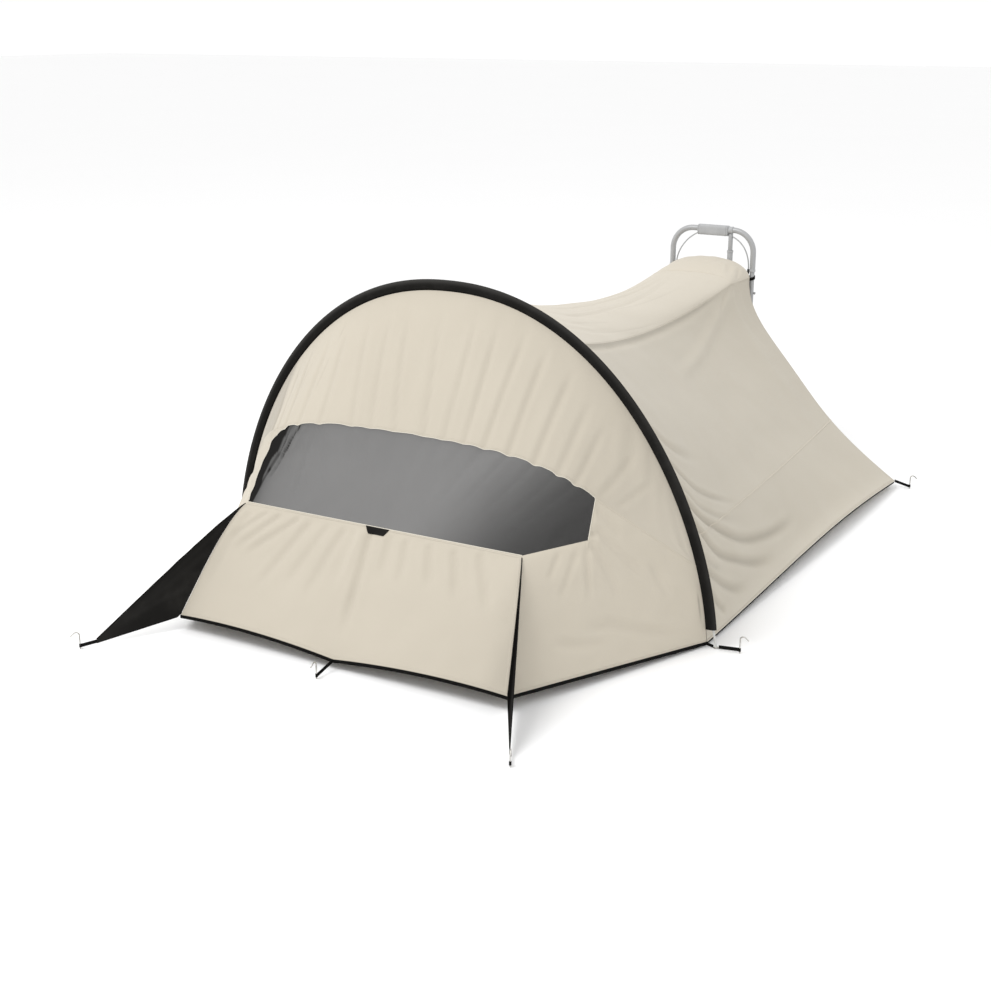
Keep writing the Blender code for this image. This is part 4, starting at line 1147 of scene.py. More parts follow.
def canvas_finish(name, light, dark, rows=()):
    """Tent canvas: a tight slanting weave, uneven yarn and a little soiling, with painted shade in its
    hollows and painted light on its ridges; rows of stitches on a seam.
    """
    dull = {"Sheen Weight": 0.18, "Sheen Roughness": 0.5, "Specular IOR Level": 0.25}
    cloth = Finish(name, roughness=0.86, fixed=dull)
    place = cloth.metres()
    along, across = cloth.lengths(place)
    threads = weave(along, across, CANVAS_PITCH)
    patches = cloth.noise(cloth.space(), scale=3.2, detail=3.0, roughness=0.55)
    yarn = cloth.streaks(place, (60.0, 900.0, 1.0))
    slubs = cloth.streaks(place, (900.0, 60.0, 1.0))
    tone = patches * 0.45 + yarn * 0.2 + slubs * 0.15 + threads * 0.2
    colour = cloth.mix(tone.within(0.25, 0.75), dark, light)
    # Painted shade in the hollows and creases and painted light on the ridges, from each point's stored shade
    colour = cloth.shaded(colour, CANVAS_PAINTED_SHADE, CANVAS_PAINTED_LIGHT)
    height = threads * 0.5 + yarn * 0.25 + slubs * 0.25
    if rows:
        thread = stitches(along, across, rows)
        colour = cloth.mix(thread * 0.6, colour, [part * 0.82 for part in dark])
        height = height + thread * 1.5
    cloth.feed("Base Color", colour)
    cloth.feed("Roughness", 0.8 + 0.12 * patches)
    cloth.bump(height, distance=0.0004, strength=0.6)
    return cloth.material


def black_cloth_finish(name, rows=()):
    """Coated black cloth: fine weave and dust on it, with painted shade in its hollows and painted light on
    its ridges and on the sleeve's upturned edge.
    """
    cloth = Finish(name, roughness=0.62, fixed={"Specular IOR Level": 0.0})
    along, across = cloth.lengths(cloth.metres())
    threads = weave(along, across, BLACK_PITCH)
    dust = cloth.noise(cloth.space(), scale=9.0, detail=5.0, roughness=0.6)
    colour = cloth.mix(dust.within(0.45, 0.8), BLACK_DARK, BLACK_LIGHT)
    # Painted shade and painted light from each point's stored shade
    colour = cloth.shaded(colour, BLACK_PAINTED_SHADE, BLACK_PAINTED_LIGHT)
    height = threads
    if rows:
        thread = stitches(along, across, rows)
        colour = cloth.mix(thread * 0.7, colour, BLACK_THREAD)
        height = height + thread * 1.6
    cloth.feed("Base Color", colour)
    cloth.feed("Roughness", 0.55 + 0.2 * dust)
    cloth.bump(height, distance=0.00035, strength=0.6)
    return cloth.material


def webbing_finish(name):
    """Black polyester webbing: ribs across it and cords along it, a little worn."""
    cloth = Finish(name, roughness=0.7, fixed={"Specular IOR Level": 0.0})
    along, across = cloth.lengths(cloth.metres())
    ribs = wave(along, RIB_PITCH)
    cords = wave(across, CORD_PITCH)
    wear = cloth.noise(cloth.space(), scale=24.0, detail=4.0, roughness=0.6)
    cloth.feed("Base Color", cloth.mix(ribs * 0.5 + cords * 0.2 + wear * 0.3, WEBBING_DARK, WEBBING_LIGHT))
    cloth.feed("Roughness", 0.62 + 0.2 * wear)
    cloth.bump(ribs * 0.7 + cords * 0.3, distance=0.0005, strength=0.8)
    return cloth.material


def mesh_finish(name):
    """Insect net: threads both ways with small holes between them, with painted shade towards its right end,
    and each point's stored painted shade and light.
    """
    cloth = Finish(name, roughness=0.8, fixed={"Specular IOR Level": 0.0})
    along, across = cloth.lengths(cloth.metres())
    threads = wave(along, NET_PITCH).math("MAXIMUM", wave(across, NET_PITCH))
    cloud = cloth.noise(cloth.space(), scale=5.0, detail=3.0)
    # Painted shade growing towards the net's right end
    right = (along - 0.6 * across).within(0.05, 0.55)
    own = cloth.shade()
    net = cloth.mix(threads * 0.6 + cloud * 0.4, NET_DARK, NET_LIGHT)
    net = cloth.mix((0.0 - own).math("MAXIMUM", 0.0), net, NET_PAINTED_LIGHT)
    cloth.feed("Base Color", cloth.mix((right * 0.77).math("MAXIMUM", own), net, NET_SHADED))
    # Less see-through where the painted shade is deep
    cloth.feed("Alpha", (0.90 + 0.08 * threads + 0.10 * own).math("MINIMUM", 1.0))
    cloth.feed("Roughness", 0.75 + 0.15 * cloud)
    cloth.bump(threads, distance=0.0003, strength=0.5)
    cloth.material.surface_render_method = "DITHERED"
    return cloth.material


def steel_finish(name):
    """Bright drawn wire with fine scratches along it."""
    metal = Finish(name, roughness=0.28, metallic=1.0)
    scratches = metal.streaks(metal.metres(), (40.0, 3000.0, 1.0), detail=3.0)
    smears = metal.noise(metal.space(), scale=60.0, detail=3.0)
    metal.feed("Base Color", metal.mix(smears.within(0.3, 0.7), WIRE_DARK, WIRE_LIGHT))
    metal.feed("Roughness", 0.18 + 0.25 * scratches)
    metal.bump(scratches, distance=0.00008, strength=0.4)
    return metal.material


def tube_finish(name):
    """Satin grey coated tube: slight orange peel, scuffs that show brighter."""
    paint = Finish(name, roughness=0.38, metallic=0.2, fixed={"Coat Weight": 0.1, "Coat Roughness": 0.3})
    space = paint.space()
    peel = paint.noise(space, scale=900.0)
    cloud = paint.noise(space, scale=14.0, detail=4.0, roughness=0.6)
    scuffs = paint.streaks(space, (300.0, 300.0, 30.0), detail=4.0)
    worn = scuffs.within(0.62, 0.74)
    paint.feed("Base Color", paint.mix(worn * 0.35, paint.mix(cloud, TUBE_DARK, TUBE_LIGHT), TUBE_WORN))
    paint.feed("Roughness", 0.34 + 0.12 * cloud + 0.1 * worn)
    paint.bump(peel * 0.6 + scuffs * 0.4, distance=0.00012, strength=0.5)
    return paint.material


def plastic_finish(name, light, dark, grain=0.00015):
    """Moulded plastic with a fine sparked texture."""
    plastic = Finish(name, roughness=0.5)
    space = plastic.space()
    texture = plastic.noise(space, scale=1400.0)
    cloud = plastic.noise(space, scale=20.0, detail=4.0, roughness=0.6)
    plastic.feed("Base Color", plastic.mix(cloud.within(0.3, 0.7), dark, light))
    plastic.feed("Roughness", 0.42 + 0.2 * cloud)
    plastic.bump(texture, distance=grain, strength=0.7)
    return plastic.material


canvas = canvas_finish("canvas_weave", CANVAS_LIGHT, CANVAS_DARK)
# Copies of the same canvas: paler as painted light for the bulwarks, roof and cap, darker as painted shade
# for the side walls
canvas_wing_painted_light = canvas_finish("canvas_wing_painted_light", WING_PAINTED_LIGHT_PALE, WING_PAINTED_LIGHT_DEEP)
canvas_roof_painted_light = canvas_finish("canvas_roof_painted_light", ROOF_PAINTED_LIGHT_PALE, ROOF_PAINTED_LIGHT_DEEP)
canvas_side_painted_shade = canvas_finish("canvas_side_painted_shade", SIDE_PAINTED_SHADE_PALE, SIDE_PAINTED_SHADE_DEEP)
canvas_seam = canvas_finish("canvas_seam", CANVAS_LIGHT, CANVAS_DARK, SEAM_ROWS)
canvas_hem = canvas_finish("canvas_hem", CANVAS_LIGHT, CANVAS_DARK, HEM_ROWS)
# Side seams in the bulwarks' paler copy, as painted light along them
side_seam_painted_light_cloth = canvas_finish("side_seam_painted_light_cloth", WING_PAINTED_LIGHT_PALE, WING_PAINTED_LIGHT_DEEP, FINE_SEAM_ROWS)
side_hem_cloth = canvas_finish("side_hem_cloth", SIDE_PAINTED_SHADE_PALE, SIDE_PAINTED_SHADE_DEEP, HEM_ROWS)
canvas_piping = canvas_finish("canvas_piping", PIPING_LIGHT, PIPING_DARK)
black_cloth = black_cloth_finish("black_cloth_weave")
black_seam = black_cloth_finish("black_cloth_seam", TAB_ROWS)
webbing = webbing_finish("webbing_ribs")
insect_mesh = mesh_finish("insect_mesh")
peg_wire = steel_finish("peg_wire")
grey_tube = tube_finish("grey_tube")
pole_glass = plastic_finish("pole_glass", POLE_LIGHT, POLE_DARK, grain=0.00005)
grip_plastic = plastic_finish("grip_plastic", GRIP_LIGHT, GRIP_DARK)
cable_plastic = plastic_finish("cable_plastic", CABLE_LIGHT, CABLE_DARK, grain=0.00005)
black_rubber = plastic_finish("black_rubber", RUBBER_LIGHT, RUBBER_DARK)


# Pieces of cloth

def declare_sheet(panel):
    row_steps = np.diff(panel.points, axis=1)
    column_steps = np.diff(panel.points, axis=0)


def on_side(surface, side):
    if side > 0:
        return surface
    return lambda u, v: mirrored(surface(u, v))


# Folds and creases are listed by their line, in shares along and up the panel, and by a fold's width and
# height, which is below 0 in a hollow, or a crease's width and tone.
# A crease's tone above 0 is painted shade along it, below 0 painted light.
HOOD_FOLDS = [
    (((0.21, 0.05), (0.20, 0.95)), 0.010, -0.0030), (((0.24, 0.02), (0.235, 0.95)), 0.008, -0.0030),
    (((0.28, 0.0), (0.265, 0.95)), 0.009, -0.0030), (((0.33, 0.0), (0.31, 0.90)), 0.013, -0.0030),
    (((0.385, 0.0), (0.35, 0.85)), 0.014, -0.0035), (((0.44, 0.0), (0.39, 0.85)), 0.015, -0.0035),
    (((0.465, 0.0), (0.425, 0.90)), 0.013, -0.0030), (((0.49, 0.0), (0.455, 0.90)), 0.013, -0.0035),
    (((0.515, 0.0), (0.498, 0.90)), 0.014, -0.0040), (((0.535, 0.0), (0.545, 0.92)), 0.014, -0.0045),
    (((0.56, 0.0), (0.578, 0.92)), 0.014, -0.0050), (((0.588, 0.0), (0.622, 0.95)), 0.015, -0.0050),
    (((0.63, 0.0), (0.66, 0.95)), 0.016, -0.0050), (((0.687, 0.0), (0.705, 0.90)), 0.018, -0.0050),
    (((0.75, 0.0), (0.745, 0.80)), 0.020, -0.0045), (((0.80, 0.0), (0.78, 0.75)), 0.018, -0.0040),
    (((0.86, 0.05), (0.84, 0.85)), 0.020, -0.0040), (((0.895, 0.12), (0.885, 0.85)), 0.016, -0.0030),
]
HOOD_CREASES = [
    (((0.341, 0.93), (0.336, 0.489), (0.339, 0.03)), 0.0016, 0.10),
    (((0.302, 0.85), (0.283, 0.551), (0.284, 0.22)), 0.0016, 0.05),
    (((0.269, 0.85), (0.261, 0.468), (0.251, 0.05)), 0.0020, 0.06),
]


def hood_window_share(panel):
    """1 where the hood's foot is the window's edge, 0 where it is sewn to a bulwark."""
    t = along_arch(T_HOOD_SEAM, panel.u)
    near = np.minimum(t, math.pi - t)
    return smooth(T_WINDOW_HIGH, T_WINDOW_HIGH + HOOD_FREE_FADE, near)


def make_hood():
    panel = Panel(hood_surface, columns=281, rows=61)
    add_folds(panel, HOOD_FOLDS, ends=(0.0, 0.35), tone=0.09)
    add_creases(panel, HOOD_CREASES)
    # Painted shade on the strip beside the sleeve, and painted light on the right end
    panel.shade += HOOD_STRIP_PAINTED_SHADE * (1.0 - smooth(*HOOD_STRIP, panel.u)) * smooth(0.0, 0.16, panel.u)
    panel.shade += HOOD_END_PAINTED_LIGHT * smooth(0.80, 1.0, panel.u)
    scallop = np.zeros(panel.u.shape[1])
    for points, _, _ in HOOD_FOLDS:
        scallop += np.exp(-((panel.u[0] - points[0][0]) / SCALLOP_SPREAD) ** 2)
    height = panel.height + rumple(panel, size=0.11, height=0.0035, seed=3.0, stretch=(0.6, 1.6))
    free = hood_window_share(panel)
    downward = unit(panel.base[0] - panel.base[1])
    slip = SCALLOP * (scallop - 0.5) * free[0]
    panel.points = panel.points + downward * slip[:, None] * ((1.0 - panel.v) ** SCALLOP_FADE)[..., None]
    low_hold = free + (1.0 - free) * smooth(0.0, 0.03, panel.length_v)
    panel.raise_by(height * low_hold * hold_edges(panel, high=0.035))
    piece = cloth_piece("hood_cloth", panel, canvas, ("hood_panel",))
    declare_sheet(panel)
    return panel


WINDOW_FOLDS = [
    (((0.312, 1.0), (0.268, 0.82), (0.214, 0.621), (0.12, 0.32)), 0.008, -0.0080),
    (((0.290, 1.0), (0.246, 0.768), (0.190, 0.560), (0.10, 0.30)), 0.007, 0.0060),
    (((0.370, 0.98), (0.24, 0.12)), 0.014, -0.0030),
]
# Lines of painted shade, and of painted light below 0, along the net's folds at its far end
WINDOW_SHADE_STREAKS = [
    (((0.318, 1.0), (0.268, 0.82), (0.208, 0.600)), 0.0030, 0.62),
    (((0.284, 0.99), (0.238, 0.795), (0.199, 0.638)), 0.0026, 0.34),
    (((0.300, 0.98), (0.252, 0.785), (0.212, 0.650)), 0.0022, -0.16),
    (((0.330, 0.97), (0.291, 0.824), (0.255, 0.670)), 0.0060, -0.10),
    (((0.205, 0.680), (0.165, 0.560), (0.125, 0.440)), 0.0095, 0.38),
    (((0.145, 0.500), (0.095, 0.340), (0.030, 0.120)), 0.0075, 0.34),
]


def window_painted_shade(panel):
    """Painted shade on the net: black where its far end turns away, and a little darker beside that end and
    under the hood.
    """
    edge = np.interp(panel.v, WINDOW_FAR_V, WINDOW_FAR_U)
    apart = np.maximum(panel.u - edge, 0.0)
    near = WINDOW_NEAR_PAINTED_SHADE * np.exp(-apart / WINDOW_NEAR_REACH)
    wide = WINDOW_WIDE_PAINTED_SHADE * np.exp(-apart / WINDOW_WIDE_REACH)
    under = WINDOW_UNDER_PAINTED_SHADE * np.exp(-(panel.length_v[-1:] - panel.length_v) / WINDOW_UNDER_REACH)
    black = 1.0 - smooth(edge - WINDOW_FAR_BEFORE, edge + WINDOW_FAR_AFTER, panel.u)
    return np.maximum(near + wide + under, black)


def make_window(hood):
    panel = Panel(window_surface, columns=181, rows=41)
    t = along_arch(T_WINDOW_LOW, panel.u[0])
    hood_u = 1.0 - (t - T_HOOD_SEAM) / (math.pi - 2.0 * T_HOOD_SEAM)
    inside = np.minimum(t, math.pi - t) > T_WINDOW_HIGH
    foot = np.zeros_like(hood_u)
    shift = (hood.at(hood_u, foot) - hood.sample(hood.base, hood_u, foot)) * inside[:, None]
    panel.points = panel.points + shift[None] * (panel.v ** FOLLOW_POWER)[..., None]
    add_folds(panel, WINDOW_FOLDS, tone=0.0)
    # Painted shade on the net, then its lines of painted shade and light
    panel.shade += window_painted_shade(panel)
    add_creases(panel, WINDOW_SHADE_STREAKS, ends=(0.0, 0.3))
    height = panel.height + rumple(panel, size=0.09, height=0.003, seed=7.0, stretch=(0.7, 1.5))
    panel.raise_by(height * hold_edges(panel, low=0.03, high=0.03, left=0.02, right=0.02))
    piece = cloth_piece("window_net", panel, insect_mesh, ("window_mesh",), MESH_CLOTH)
    declare_sheet(panel)
    return panel


def make_window_lap(window):
    """The hood's cloth that laps over the window's far end, with a wavy edge."""
    def lap(u, v):
        up = WINDOW_LAP_START + (1.0 - WINDOW_LAP_START) * v
        edge = np.interp(up, WINDOW_LAP_V, WINDOW_LAP_U)
        edge = edge + WINDOW_LAP_WAVE * np.sin(up * WINDOW_LAP_WAVES) * up
        place = (u * edge, up)
        return window.at(*place) + window.normal_at(*place) * (CLOTH + 2.0 * GAP)

    panel = Panel(lap, columns=25, rows=91)
    piece = cloth_piece("window_lap_cloth", panel, canvas, ())
    declare_sheet(panel)
    run = np.linspace(0.0, 1.0, 160)
    edge = panel.at(np.ones_like(run), run)
    tube("window_lap_edge", edge, LAP_EDGE_RADIUS, canvas_piping, sides=8)


FRONT_WALL_FOLDS = [
    (((0.478, 0.98), (0.492, 0.55), (0.50, 0.10)), 0.017, -0.0075),
    (((0.445, 0.96), (0.44, 0.40)), 0.018, 0.0040),
    (((0.22, 0.97), (0.14, 0.72), (0.085, 0.54)), 0.016, -0.0060),
    (((0.265, 0.97), (0.21, 0.55), (0.18, 0.26)), 0.019, -0.0060),
    (((0.33, 0.97), (0.29, 0.60), (0.27, 0.36)), 0.018, -0.0045),
    (((0.39, 0.97), (0.36, 0.60), (0.345, 0.30)), 0.019, -0.0055),
    (((0.55, 0.96), (0.56, 0.60)), 0.018, -0.0045), (((0.61, 0.96), (0.63, 0.55)), 0.018, -0.0050),
    (((0.69, 0.96), (0.725, 0.58)), 0.019, -0.0055), (((0.775, 0.96), (0.82, 0.54)), 0.019, -0.0055),
    (((0.86, 0.98), (0.925, 0.48)), 0.020, -0.0055), (((0.04, 0.96), (0.015, 0.23)), 0.017, -0.0040),
    (((0.15, 0.97), (0.09, 0.74), (0.045, 0.58)), 0.014, -0.0050),
    (((0.10, 0.97), (0.05, 0.80), (0.02, 0.68)), 0.012, -0.0040),
]


def make_front_wall():
    panel = Panel(front_wall_surface, columns=161, rows=56)
    add_folds(panel, FRONT_WALL_FOLDS, ends=(0.08, 0.45), flare=0.4, tone=0.09)
    height = panel.height + rumple(panel, size=0.10, height=0.004, seed=11.0)
    panel.raise_by(height * hold_edges(panel, low=0.03, high=0.02, left=0.02, right=0.02))
    piece = cloth_piece("front_wall_cloth", panel, canvas, ("front_wall",))
    declare_sheet(panel)
    return panel


BULWARK_FOLDS = [
    (((0.30, 0.99), (0.375, 0.50)), 0.016, -0.0045), (((0.26, 0.99), (0.195, 0.60)), 0.016, -0.0040),
    (((0.175, 0.98), (0.13, 0.76)), 0.014, -0.0035),
    (((0.34, 0.95), (0.55, 0.76), (0.74, 0.61)), 0.020, -0.0045),
    (((0.33, 0.94), (0.50, 0.63), (0.58, 0.40)), 0.020, -0.0050),
    (((0.32, 0.32), (0.91, 0.18)), 0.024, -0.0060),
    (((0.16, 0.31), (0.50, 0.165)), 0.022, -0.0045), (((0.745, 0.80), (0.825, 0.50)), 0.022, -0.0045),
    (((0.48, 0.96), (0.62, 0.84)), 0.018, -0.0035),
]
BULWARK_CREASES = [(((0.983, 0.80), (0.975, 0.55), (0.975, 0.28)), 0.0018, 0.40)]


def make_bulwark(side, word):
    panel = Panel(on_side(bulwark_surface, side), columns=121, rows=61)
    add_folds(panel, BULWARK_FOLDS, tone=0.06)
    add_creases(panel, BULWARK_CREASES, ends=(0.3, 0.4))
    # Painted shade beside the fin, fading upwards
    from_fin = panel.length_u - panel.length_u[:, :1]
    low_down = 1.0 - smooth(0.4, 1.0, panel.v)
    panel.shade += BULWARK_FIN_PAINTED_SHADE * np.exp(-from_fin / BULWARK_FIN_REACH) * low_down
    height = panel.height + rumple(panel, size=0.08, height=0.003, seed=17.0 + side)
    panel.raise_by(height * sewn_round(panel))
    piece = cloth_piece("bulwark_cloth_" + word, panel, canvas_wing_painted_light, ("bulwark_" + word,))
    declare_sheet(panel)
    return panel


ROOF_FOLDS = [
    (((0.36, 0.99), (0.50, 0.53), (0.66, 0.20)), 0.015, -0.0040),
    (((0.42, 0.99), (0.66, 0.47), (0.76, 0.19)), 0.016, -0.0038),
    (((0.30, 0.99), (0.36, 0.60), (0.50, 0.25)), 0.014, -0.0040),
    (((0.76, 0.38), (0.72, 0.20), (0.66, 0.06)), 0.020, -0.0024),
    (((0.88, 0.32), (0.82, 0.17), (0.75, 0.05)), 0.022, -0.0024),
    (((0.93, 0.40), (0.90, 0.20), (0.86, 0.06)), 0.018, -0.0022),
    (((0.10, 0.98), (0.07, 0.60), (0.06, 0.25)), 0.018, -0.0045),
    (((0.20, 0.98), (0.17, 0.60), (0.18, 0.25)), 0.018, -0.0040),
    (((0.30, 0.03), (0.26, 0.35)), 0.022, -0.0030), (((0.45, 0.03), (0.43, 0.40)), 0.024, -0.0030),
]
ROOF_CREASES = [
    (((0.369, 0.979), (0.484, 0.799), (0.56, 0.598), (0.652, 0.359), (0.733, 0.199)), 0.0040, 0.06),
    (((0.606, 0.895), (0.636, 0.744), (0.669, 0.53), (0.709, 0.366), (0.79, 0.163)), 0.0040, 0.08),
    (((0.835, 0.144), (0.829, 0.286), (0.838, 0.409)), 0.0035, 0.07),
    (((0.904, 0.150), (0.930, 0.326), (0.951, 0.490), (0.963, 0.605)), 0.0035, 0.08),
]


def make_roof():
    panel = Panel(roof_surface, columns=121, rows=201)
    add_folds(panel, ROOF_FOLDS, tone=0.05)
    add_creases(panel, ROOF_CREASES, ends=(0.25, 0.3))
    height = panel.height + rumple(panel, size=0.16, height=0.003, seed=23.0, stretch=(0.7, 2.0))
    panel.raise_by(height * hold_edges(panel, low=0.04, high=0.03, left=0.02, right=0.02))
    piece = cloth_piece("roof_cloth", panel, canvas_roof_painted_light, ("roof_panel",))
    declare_sheet(panel)


CAP_FOLDS = [(((0.70, 0.62), (0.80, 0.16)), 0.016, -0.003), (((0.81, 0.62), (0.95, 0.25)), 0.014, -0.003)]
CAP_CREASES = [(((0.80, 0.66), (0.958, 0.247)), 0.003, 0.05)]


def make_cap():
    panel = Panel(cap_panel_surface, columns=81, rows=41, inside_z=CAP_INSIDE_Z)
    add_folds(panel, CAP_FOLDS, tone=0.05)
    add_creases(panel, CAP_CREASES, ends=(0.3, 0.3))
    # Painted light along the crest
    panel.shade += CAP_CREST_PAINTED_LIGHT * np.exp(-((panel.v - CREST_SHARE) / CAP_CREST_REACH) ** 2)
    height = panel.height + rumple(panel, size=0.05, height=0.002, seed=29.0)
    panel.raise_by(height * sewn_round(panel))
    piece = cloth_piece("cap_cloth", panel, canvas_roof_painted_light, ("rear_cap",))
    declare_sheet(panel)
    return panel


SIDE_FOLDS = [
    (((0.055, 0.53), (0.09, 0.444), (0.12, 0.40), (0.199, 0.322), (0.294, 0.245)), 0.013, -0.0055),
    (((0.045, 0.46), (0.085, 0.374), (0.121, 0.316), (0.175, 0.254), (0.295, 0.193)), 0.012, -0.0035),
    (((0.035, 0.43), (0.101, 0.282), (0.189, 0.190), (0.300, 0.139), (0.432, 0.111), (0.50, 0.114)),
     0.017, -0.0110),
    (((0.030, 0.34), (0.086, 0.206), (0.180, 0.134), (0.274, 0.083), (0.345, 0.065)), 0.017, -0.0110),
    (((0.025, 0.22), (0.066, 0.172), (0.105, 0.145)), 0.011, -0.0035),
    (((0.025, 0.19), (0.070, 0.137), (0.107, 0.103), (0.147, 0.075), (0.215, 0.056)), 0.016, -0.0095),
    (((0.030, 0.13), (0.068, 0.070), (0.092, 0.050)), 0.014, -0.0070),
    (((0.060, 0.64), (0.103, 0.557), (0.136, 0.520), (0.220, 0.471)), 0.022, -0.0070),
]
SIDE_LONG_FOLDS = [
    (((0.865, 0.99), (0.826, 0.945), (0.765, 0.84)), 0.012, -0.0025),
    (((0.02, 0.975), (0.30, 0.970), (0.60, 0.970), (0.84, 0.985)), 0.022, -0.0060),
    (((0.90, 0.96), (0.64, 0.80), (0.39, 0.74)), 0.035, 0.0070),
]
# Painted shade under the roof seam, and two lines of painted light near the rear edge
SIDE_CREASES = [
    (((0.03, 0.986), (0.30, 0.986), (0.60, 0.986), (0.84, 0.990)), 0.0100, 0.22),
    (((0.878, 0.963), (0.883, 0.79), (0.924, 0.61)), 0.0050, -0.04),
    (((0.929, 0.948), (0.936, 0.783), (0.985, 0.64)), 0.0050, -0.04),
]


def make_side_walls(side, word):
    panel = Panel(on_side(side_surface, side), columns=261, rows=SIDE_ROWS + 1)
    add_folds(panel, SIDE_FOLDS, ends=(0.06, 0.35), flare=0.5, tone=0.21)
    add_folds(panel, SIDE_LONG_FOLDS, ends=(0.12, 0.30), tone=0.05)
    add_creases(panel, SIDE_CREASES, ends=(0.06, 0.15))
    # Painted light along the hem
    panel.shade += SIDE_HEM_PAINTED_LIGHT * np.exp(-(panel.length_v / SIDE_HEM_REACH) ** 2)
    height = panel.height + rumple(panel, size=0.15, height=0.004, seed=31.0 + 2 * side)
    panel.raise_by(height * hold_edges(panel, low=0.03, high=0.03, left=0.006, right=0.03))
    parts = (panel.cut(LOWER_ROWS, SIDE_ROWS), panel.cut(0, LOWER_ROWS))
    for part, level in zip(parts, ("upper", "lower")):
        piece = cloth_piece(f"side_cloth_{level}_{word}", part, canvas_side_painted_shade,
                            (f"side_wall_{level}_{word}",))
        declare_sheet(part)
    make_side_hem(side, word)
    return parts


def make_side_hem(side, word):
    """Black tape sewn inside the side hem, hanging below it as a dark line that also stands in for the shadow
    under the hem, and the hem's own pale fold above it.
    """
    hem = side_hem(np.linspace(0.002, 0.998, 240)) * np.array((side, 1.0, 1.0))
    outward = np.array((side, 0.0, 0.0))
    # The tape hangs below the hem, as a dark line that also stands in for the shadow under it
    centre = hem - outward * (CLOTH + SIDE_TAPE_THICKNESS / 2) - UP * (SIDE_TAPE_WIDTH / 2 - SIDE_TAPE_LAP)
    section = rounded_box(SIDE_TAPE_WIDTH / 2, SIDE_TAPE_THICKNESS / 2, FLAT_CORNER, 16)
    loft("side_shadow_tape_" + word, band_rings(centre, section, UP, outward), webbing)
    fold = hem + outward * SIDE_FOLD_OUT
    tube("side_hem_fold_" + word, fold, ROLL_RADIUS, canvas_piping, sides=8)


# Lines of painted light along the fins
FIN_CREASES = [
    (((0.02, 0.62), (0.40, 0.56), (0.85, 0.50)), 0.0120, -0.10),
    (((0.05, 0.30), (0.45, 0.36), (0.80, 0.42)), 0.0090, -0.08),
    (((0.02, 0.84), (0.35, 0.76), (0.75, 0.66)), 0.0080, -0.06),
]


def fin_root(share, top_share, foot_share):
    """The fin's seam with the front corner, at a share of the corner's edge, just clear of its cloth."""
    across = (np.asarray(share, float) - foot_share) / (top_share - foot_share)
    clear = FIN_CLEAR_FOOT + (FIN_CLEAR_TOP - FIN_CLEAR_FOOT) * across
    outward = unit(FIN_TIP - HEM_CORNER)
    return lerp(HEM_CORNER, SILL_CORNER, share) + corner_bow(share) + clear[..., None] * outward


def fin_surface(u, v):
    foot_share = FIN_FOOT_RISE / np.linalg.norm(SILL_CORNER - HEM_CORNER)
    top_share = 1.0 - FIN_TOP_SHARE
    foot, top = (fin_root(share, top_share, foot_share) for share in (foot_share, top_share))
    normal = unit(np.cross(top - foot, FIN_TIP - foot))
    away = unit(np.cross(FIN_TIP + UP * FIN_TIP_HALF - top, normal))
    dip = FIN_DIP * (1.0 - u) * np.minimum(u / FIN_DIP_RUN, 1.0)
    bulge = FIN_BULGE * np.sin(math.pi * power(u, FIN_BULGE_POWER))
    low = lerp(foot, FIN_TIP - UP * FIN_TIP_HALF, u) - dip[..., None] * UP
    high = lerp(top, FIN_TIP + UP * FIN_TIP_HALF, u) + bulge[..., None] * away
    pull = fin_root(foot_share + (top_share - foot_share) * v, top_share, foot_share) - lerp(foot, top, v)
    return lerp(low, high, v) + pull * (1.0 - u)[..., None]


def make_fin(side, word):
    panel = Panel(on_side(fin_surface, side), columns=61, rows=41)
    panel.points = panel.points + panel.normal * (FIN_THICKNESS / 2)
    # Painted shade at the fin's root and painted light towards its tip
    root_painted_shade, tip_painted_light = FIN_PAINTED_SHADE_AND_LIGHT[word]
    panel.shade += root_painted_shade * (1.0 - smooth(0.25, 0.65, panel.u)) + tip_painted_light * smooth(0.55, 0.9, panel.u)
    add_creases(panel, FIN_CREASES, ends=(0.1, 0.3))
    height = rumple(panel, size=0.06, height=0.0015, seed=41.0)
    panel.raise_by(height * sewn_round(panel))
    piece = cloth_piece("fin_cloth_" + word, panel, black_cloth, ("fin_" + word,),
                        FIN_THICKNESS)
    declare_sheet(panel)
    run = np.linspace(0.0, 1.0, 60)
    for end, level in (("upper", 1.0), ("foot", 0.0)):
        place = (run, np.full_like(run, level))
        line = panel.at(*place) - panel.normal_at(*place) * (FIN_THICKNESS / 2)
        tube(f"fin_binding_{end}_{word}", line, FIN_BINDING_RADIUS, webbing, sides=10)


def make_window_tab(wall):
    wall_height = wall.length_v[-1, wall.length_v.shape[1] // 2]

    def tab(u, v):
        half = TAB_HALF_TOP + (TAB_HALF_LOW - TAB_HALF_TOP) * v
        across = 0.5 + half / (2.0 * SILL_CORNER[0]) * (2.0 * u - 1.0)
        up = 1.0 - (TAB_LAP + TAB_DROP * v) / wall_height
        return wall.at(across, up) + wall.normal_at(across, up) * (GAP + WEBBING)

    panel = Panel(tab, columns=41, rows=21)
    piece = cloth_piece("tab_cloth", panel, black_seam, ("window_tab",), WEBBING)
    declare_sheet(panel)


def sleeve_run():
    return np.linspace(T_SLEEVE_END, math.pi - T_SLEEVE_END, 1200)


def sleeve_wrinkles(centre, angle):
    """Unevenness of the sleeve at each station and each angle round it, from -1 to 1."""
    along = np.concatenate(((0.0,), np.cumsum(np.linalg.norm(np.diff(centre, axis=0), axis=-1))))
    return np.array([[noise.noise(Vector((s * WRINKLE_PITCH + WRINKLE_SLANT * a, a, WRINKLE_SEED)))
                      for a in WRINKLE_ROUND * np.cos(angle)] for s in along])


